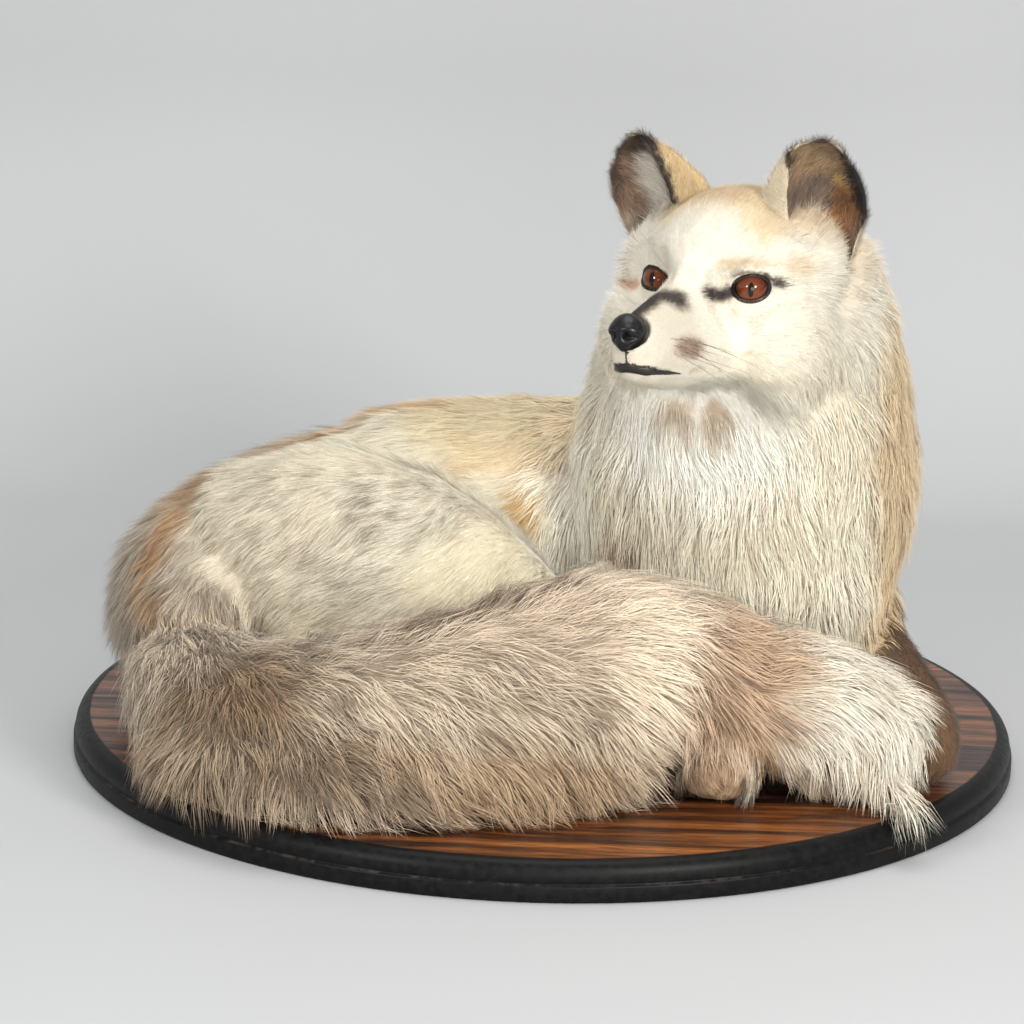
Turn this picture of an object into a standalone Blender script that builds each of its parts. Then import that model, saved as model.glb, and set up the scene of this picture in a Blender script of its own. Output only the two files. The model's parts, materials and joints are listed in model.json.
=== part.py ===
"""A taxidermy fox lying curled on a round plinth: head raised and turned, tail wrapped round its front.

Metres, +Z up. The origin is the middle of the plinth's underside. The chest is at +X, the rump at -X,
and the tail lies along the -Y side. The solids are the outline of the coat, out to the hair tips.
"""

import math

import bmesh
import bpy
from mathutils import Euler, Matrix, Vector
from mathutils.bvhtree import BVHTree

# The plinth.
PLINTH_RADIUS = 0.280
PLINTH_HEIGHT = 0.022
PLINTH_BAND = 0.010  # height of the upright band under the rounded edge
PLINTH_STEP = 0.0012  # the bead stands in from the band by this
PLINTH_ROUND = 0.0085  # radius of the rounded upper edge
PLINTH_SIDES = 48

# How the pieces are parted.
GAP = 0.0004  # clear width of a cut, and between pieces that touch
SEAT = PLINTH_HEIGHT + GAP  # level of the fox's flat underside
VOXEL = 0.0042
SMOOTHING = 9
BODY_TRIANGLES = 2200
THIGH_TRIANGLES = 280
SHANK_TRIANGLES = 160
FORELEG_TRIANGLES = 240
TAIL_TRIANGLES = 680

# The head has its own frame: origin between the eyes, +X to the nose, +Y to the fox's left, +Z up.
HEAD_PLACE = Vector((0.084, -0.075, 0.2947))
HEAD_YAW = math.radians(31.2)  # turned from -Y towards -X
HEAD_PITCH = math.radians(-7.2)  # below zero lifts the nose
HEAD_ROLL = math.radians(3.4)
EYE_PLACE = Vector((-0.0042, 0.0268, -0.0006))
EYE_GAZE = math.radians(14)  # how far the opening between the lids faces outward
EYE_RADIUS = 0.0098
NOSE_PLACE = Vector((0.0780, -0.0010, -0.0245))
EAR_TIP = Vector((-0.0223, 0.0600, 0.0817))
EAR_BASE = Vector((-0.042, 0.048, 0.022))
EAR_TURN = {1: math.radians(27), -1: math.radians(12)}  # how far each ear opens sideways
EAR_OUTER = {1: 0.0240, -1: 0.0290}  # half width from the middle line to the outer rim
EAR_INNER = {1: 0.0270, -1: 0.0255}  # and to the inner rim
EAR_THICKNESS = 0.0055
EYE_OPENING = (0.0110, 0.0108, 0.0086)  # along the gaze, across and up
NOSE_RADII = (0.0098, 0.0107, 0.0108)

# Stations of each limb: middle x, y, z, then half width and half height, from root to end.
TRUNK = (
    (-0.206, -0.058, 0.076, 0.044, 0.050),
    (-0.204, -0.005, 0.086, 0.060, 0.066),
    (-0.160, 0.050, 0.092, 0.078, 0.080),
    (-0.078, 0.078, 0.100, 0.084, 0.092),
    (0.010, 0.076, 0.104, 0.087, 0.094),
    (0.086, 0.056, 0.110, 0.084, 0.096),
    (0.128, 0.010, 0.112, 0.082, 0.096),
    (0.136, -0.030, 0.104, 0.066, 0.084),
)
NECK = (
    (0.116, 0.000, 0.064, 0.082, 0.080),
    (0.114, 0.004, 0.096, 0.092, 0.086),
    (0.115, 0.006, 0.128, 0.101, 0.090),
    (0.116, 0.006, 0.164, 0.105, 0.096),
    (0.115, 0.002, 0.205, 0.102, 0.092),
    (0.119, -0.010, 0.245, 0.092, 0.081),
    (0.124, -0.020, 0.277, 0.078, 0.064),
    (0.126, -0.028, 0.300, 0.066, 0.044),
)
# Stations of the skull and muzzle in the head's frame, from nape to nose.
SKULL = (
    (-0.078, 0.0, 0.004, 0.0520, 0.0480),
    (-0.048, 0.0, 0.005, 0.0590, 0.0530),
    (-0.022, 0.0, 0.003, 0.0500, 0.0500),
    (-0.006, 0.0, -0.003, 0.0380, 0.0420),
    (0.004, 0.0, -0.010, 0.0270, 0.0380),
    (0.016, 0.0, -0.016, 0.0200, 0.0325),
    (0.030, 0.0, -0.022, 0.0170, 0.0265),
    (0.050, 0.0, -0.028, 0.0160, 0.0220),
    (0.068, 0.0, -0.032, 0.0145, 0.0190),
)
# The wider lower muzzle: lips, whisker pads and chin.
MUZZLE = (
    (-0.004, 0.0, -0.036, 0.0380, 0.0260),
    (0.014, 0.0, -0.036, 0.0300, 0.0255),
    (0.032, 0.0, -0.036, 0.0250, 0.0245),
    (0.052, 0.0, -0.036, 0.0225, 0.0225),
    (0.069, 0.0, -0.036, 0.0180, 0.0205),
)
TEMPLE_PLACE = Vector((-0.039, 0.038, 0.014))  # the fur between eye and ear
TEMPLE_RADII = (0.036, 0.031, 0.036)
CHEEK_PLACE = Vector((-0.034, 0.038, -0.034))
CHEEK_RADII = (0.048, 0.030, 0.040)
RUFF_PLACE = Vector((-0.066, 0.036, -0.040))  # the long hair behind each cheek
RUFF_RADII = (0.040, 0.036, 0.040)
THIGH_RIGHT = (
    (-0.172, -0.002, 0.118, 0.056, 0.058),
    (-0.130, -0.020, 0.114, 0.060, 0.076),
    (-0.080, -0.036, 0.100, 0.056, 0.078),
    (-0.030, -0.046, 0.082, 0.046, 0.060),
    (-0.002, -0.050, 0.068, 0.034, 0.044),
)
SHANK_RIGHT = (
    (-0.150, -0.078, 0.050, 0.026, 0.030),
    (-0.080, -0.092, 0.052, 0.030, 0.034),
    (-0.020, -0.092, 0.052, 0.030, 0.034),
    (0.026, -0.080, 0.050, 0.026, 0.030),
)
FORELEG_RIGHT = (
    (0.034, -0.032, 0.090, 0.038, 0.042),
    (0.060, -0.066, 0.066, 0.034, 0.036),
    (0.078, -0.100, 0.050, 0.029, 0.028),
    (0.089, -0.136, 0.045, 0.025, 0.024),
    (0.094, -0.155, 0.043, 0.023, 0.022),
)
FORELEG_LEFT = (
    (0.176, 0.030, 0.086, 0.036, 0.046),
    (0.186, 0.002, 0.060, 0.034, 0.038),
    (0.200, -0.040, 0.050, 0.030, 0.034),
    (0.208, -0.085, 0.048, 0.028, 0.030),
    (0.212, -0.118, 0.045, 0.026, 0.026),
)
TAIL = (
    (-0.204, -0.068, 0.064, 0.040, 0.042),
    (-0.194, -0.108, 0.062, 0.048, 0.044),
    (-0.162, -0.148, 0.062, 0.056, 0.044),
    (-0.112, -0.166, 0.066, 0.060, 0.050),
    (-0.045, -0.166, 0.074, 0.060, 0.056),
    (0.020, -0.158, 0.090, 0.056, 0.060),
    (0.068, -0.148, 0.091, 0.050, 0.053),
    (0.110, -0.144, 0.076, 0.047, 0.050),
    (0.156, -0.150, 0.067, 0.043, 0.047),
    (0.188, -0.156, 0.060, 0.032, 0.038),
)
TAIL_FRINGE = (
    (-0.206, -0.130, 0.044, 0.026, 0.030),
    (-0.186, -0.172, 0.042, 0.036, 0.034),
    (-0.112, -0.206, 0.042, 0.042, 0.036),
    (-0.045, -0.200, 0.042, 0.040, 0.036),
    (0.020, -0.182, 0.044, 0.036, 0.034),
    (0.048, -0.176, 0.042, 0.024, 0.026),
)
TAIL_TUFT = (
    (0.176, -0.156, 0.052, 0.026, 0.030),
    (0.190, -0.176, 0.040, 0.018, 0.018),
    (0.198, -0.198, 0.032, 0.010, 0.009),
)
TAIL_CUTS = (7, 14, 21, 28)  # steps along the tail's curve, four to each interval

PAW_RIGHT = Vector((0.096, -0.162, 0.045))
PAW_LEFT = Vector((0.212, -0.124, 0.045))
PAW_RADII = (0.0250, 0.036, 0.027)
PAW_TURN_RIGHT = math.radians(8)

# The material of each piece: fur by its colour, the rest by colour and roughness.
CREAM = (0.74, 0.66, 0.52)
OCHRE = (0.56, 0.38, 0.21)
GREY_BROWN = (0.42, 0.33, 0.25)
DARK_BROWN = (0.14, 0.085, 0.055)
FUR = {
    "head": CREAM,
    "jaw": CREAM,
    "neck": OCHRE,
    "chest": CREAM,
    "belly": OCHRE,
    "rump": OCHRE,
    "thigh": CREAM,
    "shank": GREY_BROWN,
    "foreleg_left": DARK_BROWN,
    "foreleg_right": DARK_BROWN,
    "forepaw_left": DARK_BROWN,
    "forepaw_right": DARK_BROWN,
    "tail_1": GREY_BROWN,
    "tail_2": GREY_BROWN,
    "tail_3": GREY_BROWN,
    "tail_4": GREY_BROWN,
    "tail_5": CREAM,
    "ear_left": DARK_BROWN,
    "ear_right": DARK_BROWN,
}
HARD = {
    "plinth": ((0.060, 0.028, 0.018), 0.35),
    "nose": ((0.012, 0.011, 0.011), 0.30),
    "eye_left": ((0.22, 0.060, 0.018), 0.05),
    "eye_right": ((0.22, 0.060, 0.018), 0.05),
}

# Cuts that part the trunk, neck and head: the view they are drawn on, a line in that view, and the
# lowest and highest level of the wall along the line of sight.
CUTS = (
    # round the back and underside of the head
    (
        "head",
        ((-0.104, 0.100), (-0.098, 0.010), (-0.080, -0.052), (-0.036, -0.078), (0.060, -0.084)),
        (-0.2, 0.2),
    ),
    # the mouth line, then down behind the chin
    ("head", ((0.110, -0.0435), (0.060, -0.0470), (0.024, -0.0500), (0.008, -0.110)), (-0.2, 0.2)),
    # behind the shoulders
    ("plan", ((0.000, -0.300), (0.000, 0.300)), (-0.1, 0.4)),
    # under the neck
    ("front", ((0.000, 0.172), (0.400, 0.158)), (-0.3, 0.3)),
    # in front of the rump
    ("plan", ((-0.095, -0.300), (-0.095, 0.0), (-0.145, 0.200)), (-0.1, 0.4)),
)
# A point inside each piece of the trunk, neck and head.
SEEDS = {
    "head": (0.095, -0.060, 0.290),
    "jaw": (0.060, -0.110, 0.250),
    "neck": (0.116, 0.000, 0.190),
    "chest": (0.116, 0.000, 0.120),
    "belly": (-0.040, 0.080, 0.100),
    "rump": (-0.190, 0.010, 0.090),
}


# ---------------------------------------------------------------- frames and splines


def head_matrix():
    """The head's frame in the world."""
    forward = Vector((-math.sin(HEAD_YAW), -math.cos(HEAD_YAW), 0.0))
    left = Vector((math.cos(HEAD_YAW), -math.sin(HEAD_YAW), 0.0))
    basis = Matrix((forward, left, Vector((0.0, 0.0, 1.0)))).transposed()
    tilt = Euler((HEAD_ROLL, HEAD_PITCH, 0.0)).to_matrix()
    return Matrix.Translation(HEAD_PLACE) @ (basis @ tilt).to_4x4()


HEAD = head_matrix()


def between(stations, spans):
    """Stations read from a smooth curve through the given ones, spans to each interval."""
    found = []
    last = len(stations) - 1
    for i in range(last):
        ring = [Vector(stations[max(0, min(last, i + k))]) for k in (-1, 0, 1, 2)]
        for step in range(spans):
            t = step / spans
            found.append(
                0.5
                * (
                    2 * ring[1]
                    + (ring[2] - ring[0]) * t
                    + (2 * ring[0] - 5 * ring[1] + 4 * ring[2] - ring[3]) * t * t
                    + (3 * ring[1] - ring[0] - 3 * ring[2] + ring[3]) * t * t * t
                )
            )
    return found + [Vector(stations[last])]


# ---------------------------------------------------------------- shapes


def mesh_object(name, mesh):
    made = bpy.data.objects.new(name, mesh)
    bpy.context.scene.collection.objects.link(made)
    return made


def from_bmesh(name, bm):
    bmesh.ops.recalc_face_normals(bm, faces=bm.faces)
    mesh = bpy.data.meshes.new(name)
    bm.to_mesh(mesh)
    bm.free()
    return mesh_object(name, mesh)


def skin_rings(bm, rings, closed_ends=True):
    """Faces between rings of points, with a fan over each end."""
    rows = [[bm.verts.new(p) for p in ring] for ring in rings]
    sides = len(rows[0])
    for a, b in zip(rows, rows[1:]):
        for i in range(sides):
            bm.faces.new((a[i], a[(i + 1) % sides], b[(i + 1) % sides], b[i]))
    if closed_ends:
        bm.faces.new(rows[0][::-1])
        bm.faces.new(rows[-1])
    return rows


def limb(name, stations, spans=4, sides=20, frame=None, upright=False):
    """A round tube through stations of middle, half width and half height, with domed ends.

    The width of an upright limb lies along X and its height along Y.
    """
    frame = frame or Matrix.Identity(4)
    path = between(stations, spans)
    middles = [Vector(s[:3]) for s in path]
    rings = []
    for i, station in enumerate(path):
        ahead = middles[min(i + 1, len(path) - 1)] - middles[max(i - 1, 0)]
        ahead.normalize()
        across = ahead.cross(Vector((0.0, 0.0, 1.0)))
        if upright:
            across = Vector((1.0, 0.0, 0.0))
        across = (across - ahead * across.dot(ahead)).normalized()
        upward = across.cross(ahead)
        steps = [(0.0, 1.0)]
        if i in (0, len(path) - 1):
            reach = 0.8 * min(station[3], station[4]) * (-1 if i == 0 else 1)
            steps += [(reach * k, math.sqrt(1 - k * k)) for k in (0.5, 0.85, 0.98)]
        if i == 0:
            steps.reverse()
        for along, size in steps:
            middle = middles[i] + ahead * along
            rings.append(
                [
                    frame
                    @ (
                        middle
                        + across * (station[3] * size * math.cos(angle))
                        + upward * (station[4] * size * math.sin(angle))
                    )
                    for angle in (math.tau * k / sides for k in range(sides))
                ]
            )
    bm = bmesh.new()
    skin_rings(bm, rings)
    return from_bmesh(name, bm)


def ball(name, place, radii, frame=None, turn=(0.0, 0.0, 0.0), subdivisions=3):
    """An ellipsoid, in a frame if one is given."""
    bm = bmesh.new()
    bmesh.ops.create_icosphere(bm, subdivisions=subdivisions, radius=1.0)
    shape = (
        (frame or Matrix.Identity(4))
        @ Matrix.Translation(place)
        @ Euler(turn).to_matrix().to_4x4()
        @ Matrix.Diagonal((*radii, 1.0))
    )
    bm.transform(shape)
    return from_bmesh(name, bm)


def turned(name, profile, sides):
    """A solid turned about the Z axis from (radius, height) points, bottom to top."""
    bm = bmesh.new()
    rings = [
        [
            Vector((r * math.cos(math.tau * k / sides), r * math.sin(math.tau * k / sides), z))
            for k in range(sides)
        ]
        for r, z in profile
    ]
    skin_rings(bm, rings)
    return from_bmesh(name, bm)


# ---------------------------------------------------------------- joining, cutting, parting


def applied(obj):
    """The object with its modifiers applied."""
    graph = bpy.context.evaluated_depsgraph_get()
    mesh = bpy.data.meshes.new_from_object(obj.evaluated_get(graph))
    obj.modifiers.clear()
    old = obj.data
    obj.data = mesh
    bpy.data.meshes.remove(old)
    return obj


def joined(name, pieces):
    """One object holding the meshes of all pieces, which are removed."""
    bm = bmesh.new()
    for piece in pieces:
        bm.from_mesh(piece.data)
        bpy.data.objects.remove(piece)
    mesh = bpy.data.meshes.new(name)
    bm.to_mesh(mesh)
    bm.free()
    return mesh_object(name, mesh)


def blended(name, pieces, voxel, smoothing, triangles):
    """Pieces melted into one smooth closed surface of about that many triangles."""
    whole = joined(name, pieces)
    melt = whole.modifiers.new("melt", "REMESH")
    melt.mode = "VOXEL"
    melt.voxel_size = voxel
    smooth = whole.modifiers.new("smooth", "SMOOTH")
    smooth.factor = 0.5
    smooth.iterations = smoothing
    applied(whole)
    thin = whole.modifiers.new("thin", "DECIMATE")
    thin.ratio = triangles / (2 * len(whole.data.polygons))
    thin.use_collapse_triangulate = True
    return applied(whole)


def boolean(obj, cutter, operation="DIFFERENCE", keep=False):
    cut = obj.modifiers.new("cut", "BOOLEAN")
    cut.operation = operation
    cut.solver = "EXACT"
    cut.object = cutter
    applied(obj)
    if not keep:
        bpy.data.objects.remove(cutter)
    return obj


def grown(obj, by):
    """A copy whose surface stands out by a distance."""
    copy = mesh_object(obj.name + "_grown", obj.data.copy())
    for vertex in copy.data.vertices:
        vertex.co += vertex.normal * by
    return copy


def islands(obj):
    """The separate closed pieces of a mesh, as lists of face numbers."""
    bm = bmesh.new()
    bm.from_mesh(obj.data)
    seen, found = set(), []
    for start in bm.faces:
        if start.index in seen:
            continue
        seen.add(start.index)
        group, edge_of_group = [], [start]
        while edge_of_group:
            face = edge_of_group.pop()
            group.append(face.index)
            for edge in face.edges:
                for other in edge.link_faces:
                    if other.index not in seen:
                        seen.add(other.index)
                        edge_of_group.append(other)
        found.append(group)
    bm.free()
    return found


def only_faces(obj, name, faces):
    """A new object with some of an object's faces."""
    bm = bmesh.new()
    bm.from_mesh(obj.data)
    wanted = set(faces)
    bmesh.ops.delete(bm, geom=[f for f in bm.faces if f.index not in wanted], context="FACES")
    return from_bmesh(name, bm)


def holds(tree, point):
    """Whether a closed surface goes round a point."""
    crossings = 0
    start = Vector(point)
    while True:
        hit = tree.ray_cast(start, Vector((0.0123, 0.0071, 1.0)))[0]
        if hit is None:
            return crossings % 2 == 1
        crossings += 1
        start = hit + Vector((0.0, 0.0, 1e-6))


def parted(obj, seeds):
    """The closed pieces of obj, each named after the seed point inside it. Crumbs are dropped."""
    for number, faces in enumerate(islands(obj)):
        piece = only_faces(obj, f"piece_{number}", faces)
        bm = bmesh.new()
        bm.from_mesh(piece.data)
        tree = BVHTree.FromBMesh(bm)
        bm.free()
        name = next((n for n, point in seeds.items() if holds(tree, point)), None)
        if name:
            piece.name = name
        else:
            bpy.data.objects.remove(piece)
    bpy.data.objects.remove(obj)


def largest(obj):
    """The object without its crumbs."""
    name = obj.name
    kept = only_faces(obj, name + "_kept", max(islands(obj), key=len))
    bpy.data.objects.remove(obj)
    kept.name = name
    return kept


def fence(line, low, high, frame=None):
    """A closed wall, GAP thick, that follows a line in plan between two heights."""
    points = [Vector((*p, 0.0)) for p in line]
    left, right = [], []
    for i, point in enumerate(points):
        before = (point - points[i - 1]).normalized() if i else None
        after = (points[i + 1] - point).normalized() if i + 1 < len(points) else None
        ahead = ((before or after) + (after or before)).normalized()
        side = Vector((-ahead.y, ahead.x, 0.0))
        lean = (after or before).dot(ahead)
        left.append(point + side * (0.5 * GAP / lean))
        right.append(point - side * (0.5 * GAP / lean))
    outline = left + right[::-1]
    bm = bmesh.new()
    skin_rings(bm, [[p + Vector((0.0, 0.0, z)) for p in outline] for z in (low, high)])
    bm.transform(frame or Matrix.Identity(4))
    return from_bmesh("fence", bm)


def block(low, high):
    """A box between two corners."""
    bm = bmesh.new()
    bmesh.ops.create_cube(bm, size=1.0)
    size = Vector(high) - Vector(low)
    bm.transform(Matrix.Translation((Vector(low) + Vector(high)) / 2) @ Matrix.Diagonal((*size, 1)))
    return from_bmesh("block", bm)


def one_side(obj, name, place, ahead):
    """The part of a solid that lies ahead of a plane, stopping half a gap short of it."""
    toward = Vector(ahead).normalized()
    bm = bmesh.new()
    bm.from_mesh(obj.data)
    bmesh.ops.bisect_plane(
        bm,
        geom=bm.verts[:] + bm.edges[:] + bm.faces[:],
        plane_co=Vector(place) + toward * (0.5 * GAP),
        plane_no=toward,
        clear_inner=True,
    )
    bmesh.ops.holes_fill(bm, edges=[e for e in bm.edges if e.is_boundary])
    return from_bmesh(name, bm)


def sliced(obj, names, cuts):
    """A long solid divided by planes, given as points and directions, into named lengths."""
    rest = obj
    for name, (place, ahead) in zip(names, cuts):
        one_side(rest, name, place, -Vector(ahead))
        further = one_side(rest, "rest", place, ahead)
        bpy.data.objects.remove(rest)
        rest = further
    rest.name = names[-1]


# ---------------------------------------------------------------- the fox


FRONT = Matrix(((1, 0, 0, 0), (0, 0, -1, 0), (0, 1, 0, 0), (0, 0, 0, 1)))
VIEWS = {"plan": Matrix.Identity(4), "front": FRONT, "head": HEAD @ FRONT}


def mirrored(place, side):
    return Vector((place[0], side * place[1], place[2]))


def seated(obj):
    """The object cut flat where it rests on the plinth."""
    return boolean(obj, block((-0.4, -0.4, -0.1), (0.4, 0.4, SEAT)))


def clear_of(obj, others):
    """The object cut back to stand GAP clear of the others."""
    for other in others:
        boolean(obj, grown(other, GAP))
    return largest(obj)


def body():
    """Trunk, neck and head as one closed surface."""
    pieces = [
        limb("trunk", TRUNK),
        limb("neck", NECK, upright=True),
        limb("skull", SKULL, frame=HEAD),
        limb("muzzle", MUZZLE, frame=HEAD),
    ]
    for side in (-1, 1):
        for place, radii in (
            (TEMPLE_PLACE, TEMPLE_RADII),
            (CHEEK_PLACE, CHEEK_RADII),
            (RUFF_PLACE, RUFF_RADII),
        ):
            pieces.append(ball("side", mirrored(place, side), radii, frame=HEAD))
    return seated(blended("body", pieces, VOXEL, SMOOTHING, BODY_TRIANGLES))


def foreleg(name, stations, paw, turn):
    """A foreleg stretched forward along the plinth, with its paw."""
    pieces = [limb("leg", stations), ball("paw", paw, PAW_RADII, turn=(0.0, 0.0, turn))]
    return seated(blended(name, pieces, VOXEL, SMOOTHING - 4, FORELEG_TRIANGLES))


def eye(side):
    return ball(
        "eye_left" if side > 0 else "eye_right",
        mirrored(EYE_PLACE, side),
        (EYE_RADIUS,) * 3,
        frame=HEAD,
    )


def eye_opening(side):
    """The cut that lets an eye sit in its socket and look out between the lids."""
    socket = ball("socket", mirrored(EYE_PLACE, side), (EYE_RADIUS + GAP,) * 3, frame=HEAD)
    look = Vector((math.cos(EYE_GAZE), math.sin(EYE_GAZE), 0.0)) * 0.0085
    front = ball(
        "front",
        mirrored(EYE_PLACE + look, side),
        EYE_OPENING,
        frame=HEAD,
        turn=(0.0, 0.0, side * EYE_GAZE),
        subdivisions=2,
    )
    return boolean(socket, front, "UNION")


def nose():
    pad = ball("nose", NOSE_PLACE, NOSE_RADII, frame=HEAD)
    return pad


def ear(side, body_solid):
    """A thin curved shell that stands on the head, open to the front and outward."""
    rows, columns = 8, 6
    tip, base = EAR_TIP, EAR_BASE
    rise = tip - base
    open_to = Vector((math.cos(EAR_TURN[side]), math.sin(EAR_TURN[side]), 0.0))
    open_to = (open_to - rise * (open_to.dot(rise) / rise.length_squared)).normalized()
    across = rise.cross(open_to).normalized()
    outer, inner = [], []
    for i in range(rows + 1):
        t = i / rows
        full = math.sqrt(max(0.0, 1.0 - t**2.2)) * (0.80 + 0.90 * t * (1 - t))
        thick = EAR_THICKNESS * (1.0 - 0.55 * t)
        outer_row, inner_row = [], []
        for k in range(columns + 1):
            turn = math.pi * (k / columns - 0.5)
            lateral, back = math.sin(turn), math.cos(turn)
            width = max(0.0022, full * (EAR_OUTER if lateral > 0 else EAR_INNER)[side])
            depth = max(0.0014, full * 0.0172)
            middle = base + rise * t
            outer_row.append(middle + across * (width * lateral) - open_to * (depth * back))
            shrink = max(0.15, 1.0 - thick / max(width, 0.004))
            inner_row.append(
                middle
                + across * (width * lateral * shrink)
                - open_to * (depth * back * shrink - 0.15 * thick)
            )
        outer.append(outer_row)
        inner.append(inner_row)
    bm = bmesh.new()
    rings = []
    for outer_row, inner_row in zip(outer, inner):
        rings.append([HEAD @ mirrored(p, side) for p in outer_row + inner_row[::-1]])
    skin_rings(bm, rings)
    shell = from_bmesh("ear_left" if side > 0 else "ear_right", bm)
    return clear_of(shell, [body_solid])


def tail(neighbours):
    """The tail in five lengths, resting on the plinth and on the body."""
    pieces = [
        limb("core", TAIL),
        limb("fringe", TAIL_FRINGE, spans=3, sides=16),
        limb("tuft", TAIL_TUFT, spans=2, sides=12),
    ]
    whole = seated(blended("tail", pieces, VOXEL, SMOOTHING - 4, TAIL_TRIANGLES))
    whole = clear_of(whole, neighbours)
    path = [Vector(s[:3]) for s in between(TAIL, 4)]
    cuts = [(path[at], path[at + 1] - path[at - 1]) for at in TAIL_CUTS]
    sliced(whole, [f"tail_{n + 1}" for n in range(len(cuts) + 1)], cuts)


def plinth():
    """A round board with a rounded upper edge over an upright band."""
    profile = [(PLINTH_RADIUS - 0.001, 0.0), (PLINTH_RADIUS, 0.001)]
    profile += [(PLINTH_RADIUS, PLINTH_BAND), (PLINTH_RADIUS - PLINTH_STEP, PLINTH_BAND + 0.0006)]
    middle = PLINTH_HEIGHT - PLINTH_ROUND
    inner = PLINTH_RADIUS - PLINTH_STEP - PLINTH_ROUND
    for k in range(0, 5):
        angle = math.radians(90) * k / 4
        profile.append(
            (inner + PLINTH_ROUND * math.cos(angle), middle + PLINTH_ROUND * math.sin(angle))
        )
    return turned("plinth", profile, PLINTH_SIDES)


def finish(name, colour, roughness):
    """Gives a piece its own material."""
    material = bpy.data.materials.new(name)
    material.use_nodes = True
    shader = material.node_tree.nodes["Principled BSDF"]
    shader.inputs["Base Color"].default_value = (*colour, 1.0)
    shader.inputs["Roughness"].default_value = roughness
    mesh = bpy.data.objects[name].data
    mesh.name = name
    mesh.materials.clear()
    mesh.materials.append(material)
    for polygon in mesh.polygons:
        polygon.material_index = 0


def build():
    for obj in list(bpy.data.objects):
        bpy.data.objects.remove(obj)

    plinth()
    trunk = body()
    thigh = seated(
        blended("thigh", [limb("leg", THIGH_RIGHT)], VOXEL, SMOOTHING - 4, THIGH_TRIANGLES)
    )
    thigh = clear_of(thigh, [trunk])
    shank = seated(
        blended("shank", [limb("leg", SHANK_RIGHT)], VOXEL, SMOOTHING - 4, SHANK_TRIANGLES)
    )
    shank = clear_of(shank, [trunk, thigh])
    right = foreleg("foreleg_right", FORELEG_RIGHT, PAW_RIGHT, PAW_TURN_RIGHT)
    right = clear_of(right, [trunk, thigh, shank])
    left = foreleg("foreleg_left", FORELEG_LEFT, PAW_LEFT, 0.0)
    left = clear_of(left, [trunk])
    tail([trunk, thigh, shank, right, left])
    for leg, name, paw in ((right, "right", PAW_RIGHT), (left, "left", PAW_LEFT)):
        wrist = paw + Vector((0.0, 0.022, 0.0))
        names = [f"foreleg_{name}", f"forepaw_{name}"]
        leg.name = "leg_" + name
        sliced(leg, names, [(wrist, (0.12, -1.0, 0.0))])

    for side in (-1, 1):
        ear(side, trunk)
        eye(side)
    boolean(trunk, grown(nose(), GAP))
    for side in (-1, 1):
        boolean(trunk, eye_opening(side))
    trunk = largest(trunk)
    for view, line, (low, high) in CUTS:
        boolean(trunk, fence(line, low, high, VIEWS[view]))
    parted(trunk, SEEDS)

    for name, colour in FUR.items():
        finish(name, colour, 0.9)
    for name, (colour, roughness) in HARD.items():
        finish(name, colour, roughness)


build()
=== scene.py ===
"""The looks of a taxidermy fox on a round board: skin, fur, glass eyes, nose and stained wood.

Metres, +Z up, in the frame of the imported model: chest at +X, rump at -X, tail and face on the -Y side.
"""

import json
import math

import bmesh
import bpy
import numpy as np
from mathutils import Euler, Matrix, Vector, noise
from mathutils.bvhtree import BVHTree
from mathutils.kdtree import KDTree

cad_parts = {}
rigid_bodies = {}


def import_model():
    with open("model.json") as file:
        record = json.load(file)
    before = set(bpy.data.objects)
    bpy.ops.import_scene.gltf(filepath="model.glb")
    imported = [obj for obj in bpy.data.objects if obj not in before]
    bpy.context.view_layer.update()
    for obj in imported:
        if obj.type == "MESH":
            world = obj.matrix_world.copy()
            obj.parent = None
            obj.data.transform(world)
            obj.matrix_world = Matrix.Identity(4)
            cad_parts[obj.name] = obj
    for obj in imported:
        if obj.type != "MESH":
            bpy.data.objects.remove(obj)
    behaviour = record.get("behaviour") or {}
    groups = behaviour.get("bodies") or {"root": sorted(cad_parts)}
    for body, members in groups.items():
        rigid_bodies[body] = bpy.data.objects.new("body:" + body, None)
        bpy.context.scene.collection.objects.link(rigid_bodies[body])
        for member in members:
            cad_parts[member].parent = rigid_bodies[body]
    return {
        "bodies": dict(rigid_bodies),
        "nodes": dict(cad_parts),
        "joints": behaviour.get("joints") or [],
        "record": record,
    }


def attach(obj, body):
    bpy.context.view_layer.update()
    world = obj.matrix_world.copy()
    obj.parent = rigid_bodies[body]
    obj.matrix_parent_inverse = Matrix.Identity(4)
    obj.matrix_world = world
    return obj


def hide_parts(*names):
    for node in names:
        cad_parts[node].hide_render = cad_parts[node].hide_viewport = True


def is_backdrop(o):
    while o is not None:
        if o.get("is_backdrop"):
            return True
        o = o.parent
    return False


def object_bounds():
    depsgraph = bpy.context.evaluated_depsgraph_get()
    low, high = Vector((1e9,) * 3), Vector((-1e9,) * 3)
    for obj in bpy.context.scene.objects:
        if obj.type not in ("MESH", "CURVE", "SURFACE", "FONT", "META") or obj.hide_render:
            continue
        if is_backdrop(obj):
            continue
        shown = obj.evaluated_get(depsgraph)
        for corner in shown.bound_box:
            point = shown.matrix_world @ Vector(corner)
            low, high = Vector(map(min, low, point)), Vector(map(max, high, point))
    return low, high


SEED = 7

# ---------------------------------------------------------------- camera and studio
CAMERA_PLACE = (-0.0012, -1.9446, 0.6224)
CAMERA_YAW = math.radians(-0.60)  # towards +X
CAMERA_PITCH = math.radians(-13.90)
CAMERA_ROLL = math.radians(1.447)  # tips the picture clockwise
CAMERA_LENS = 118.8

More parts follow.
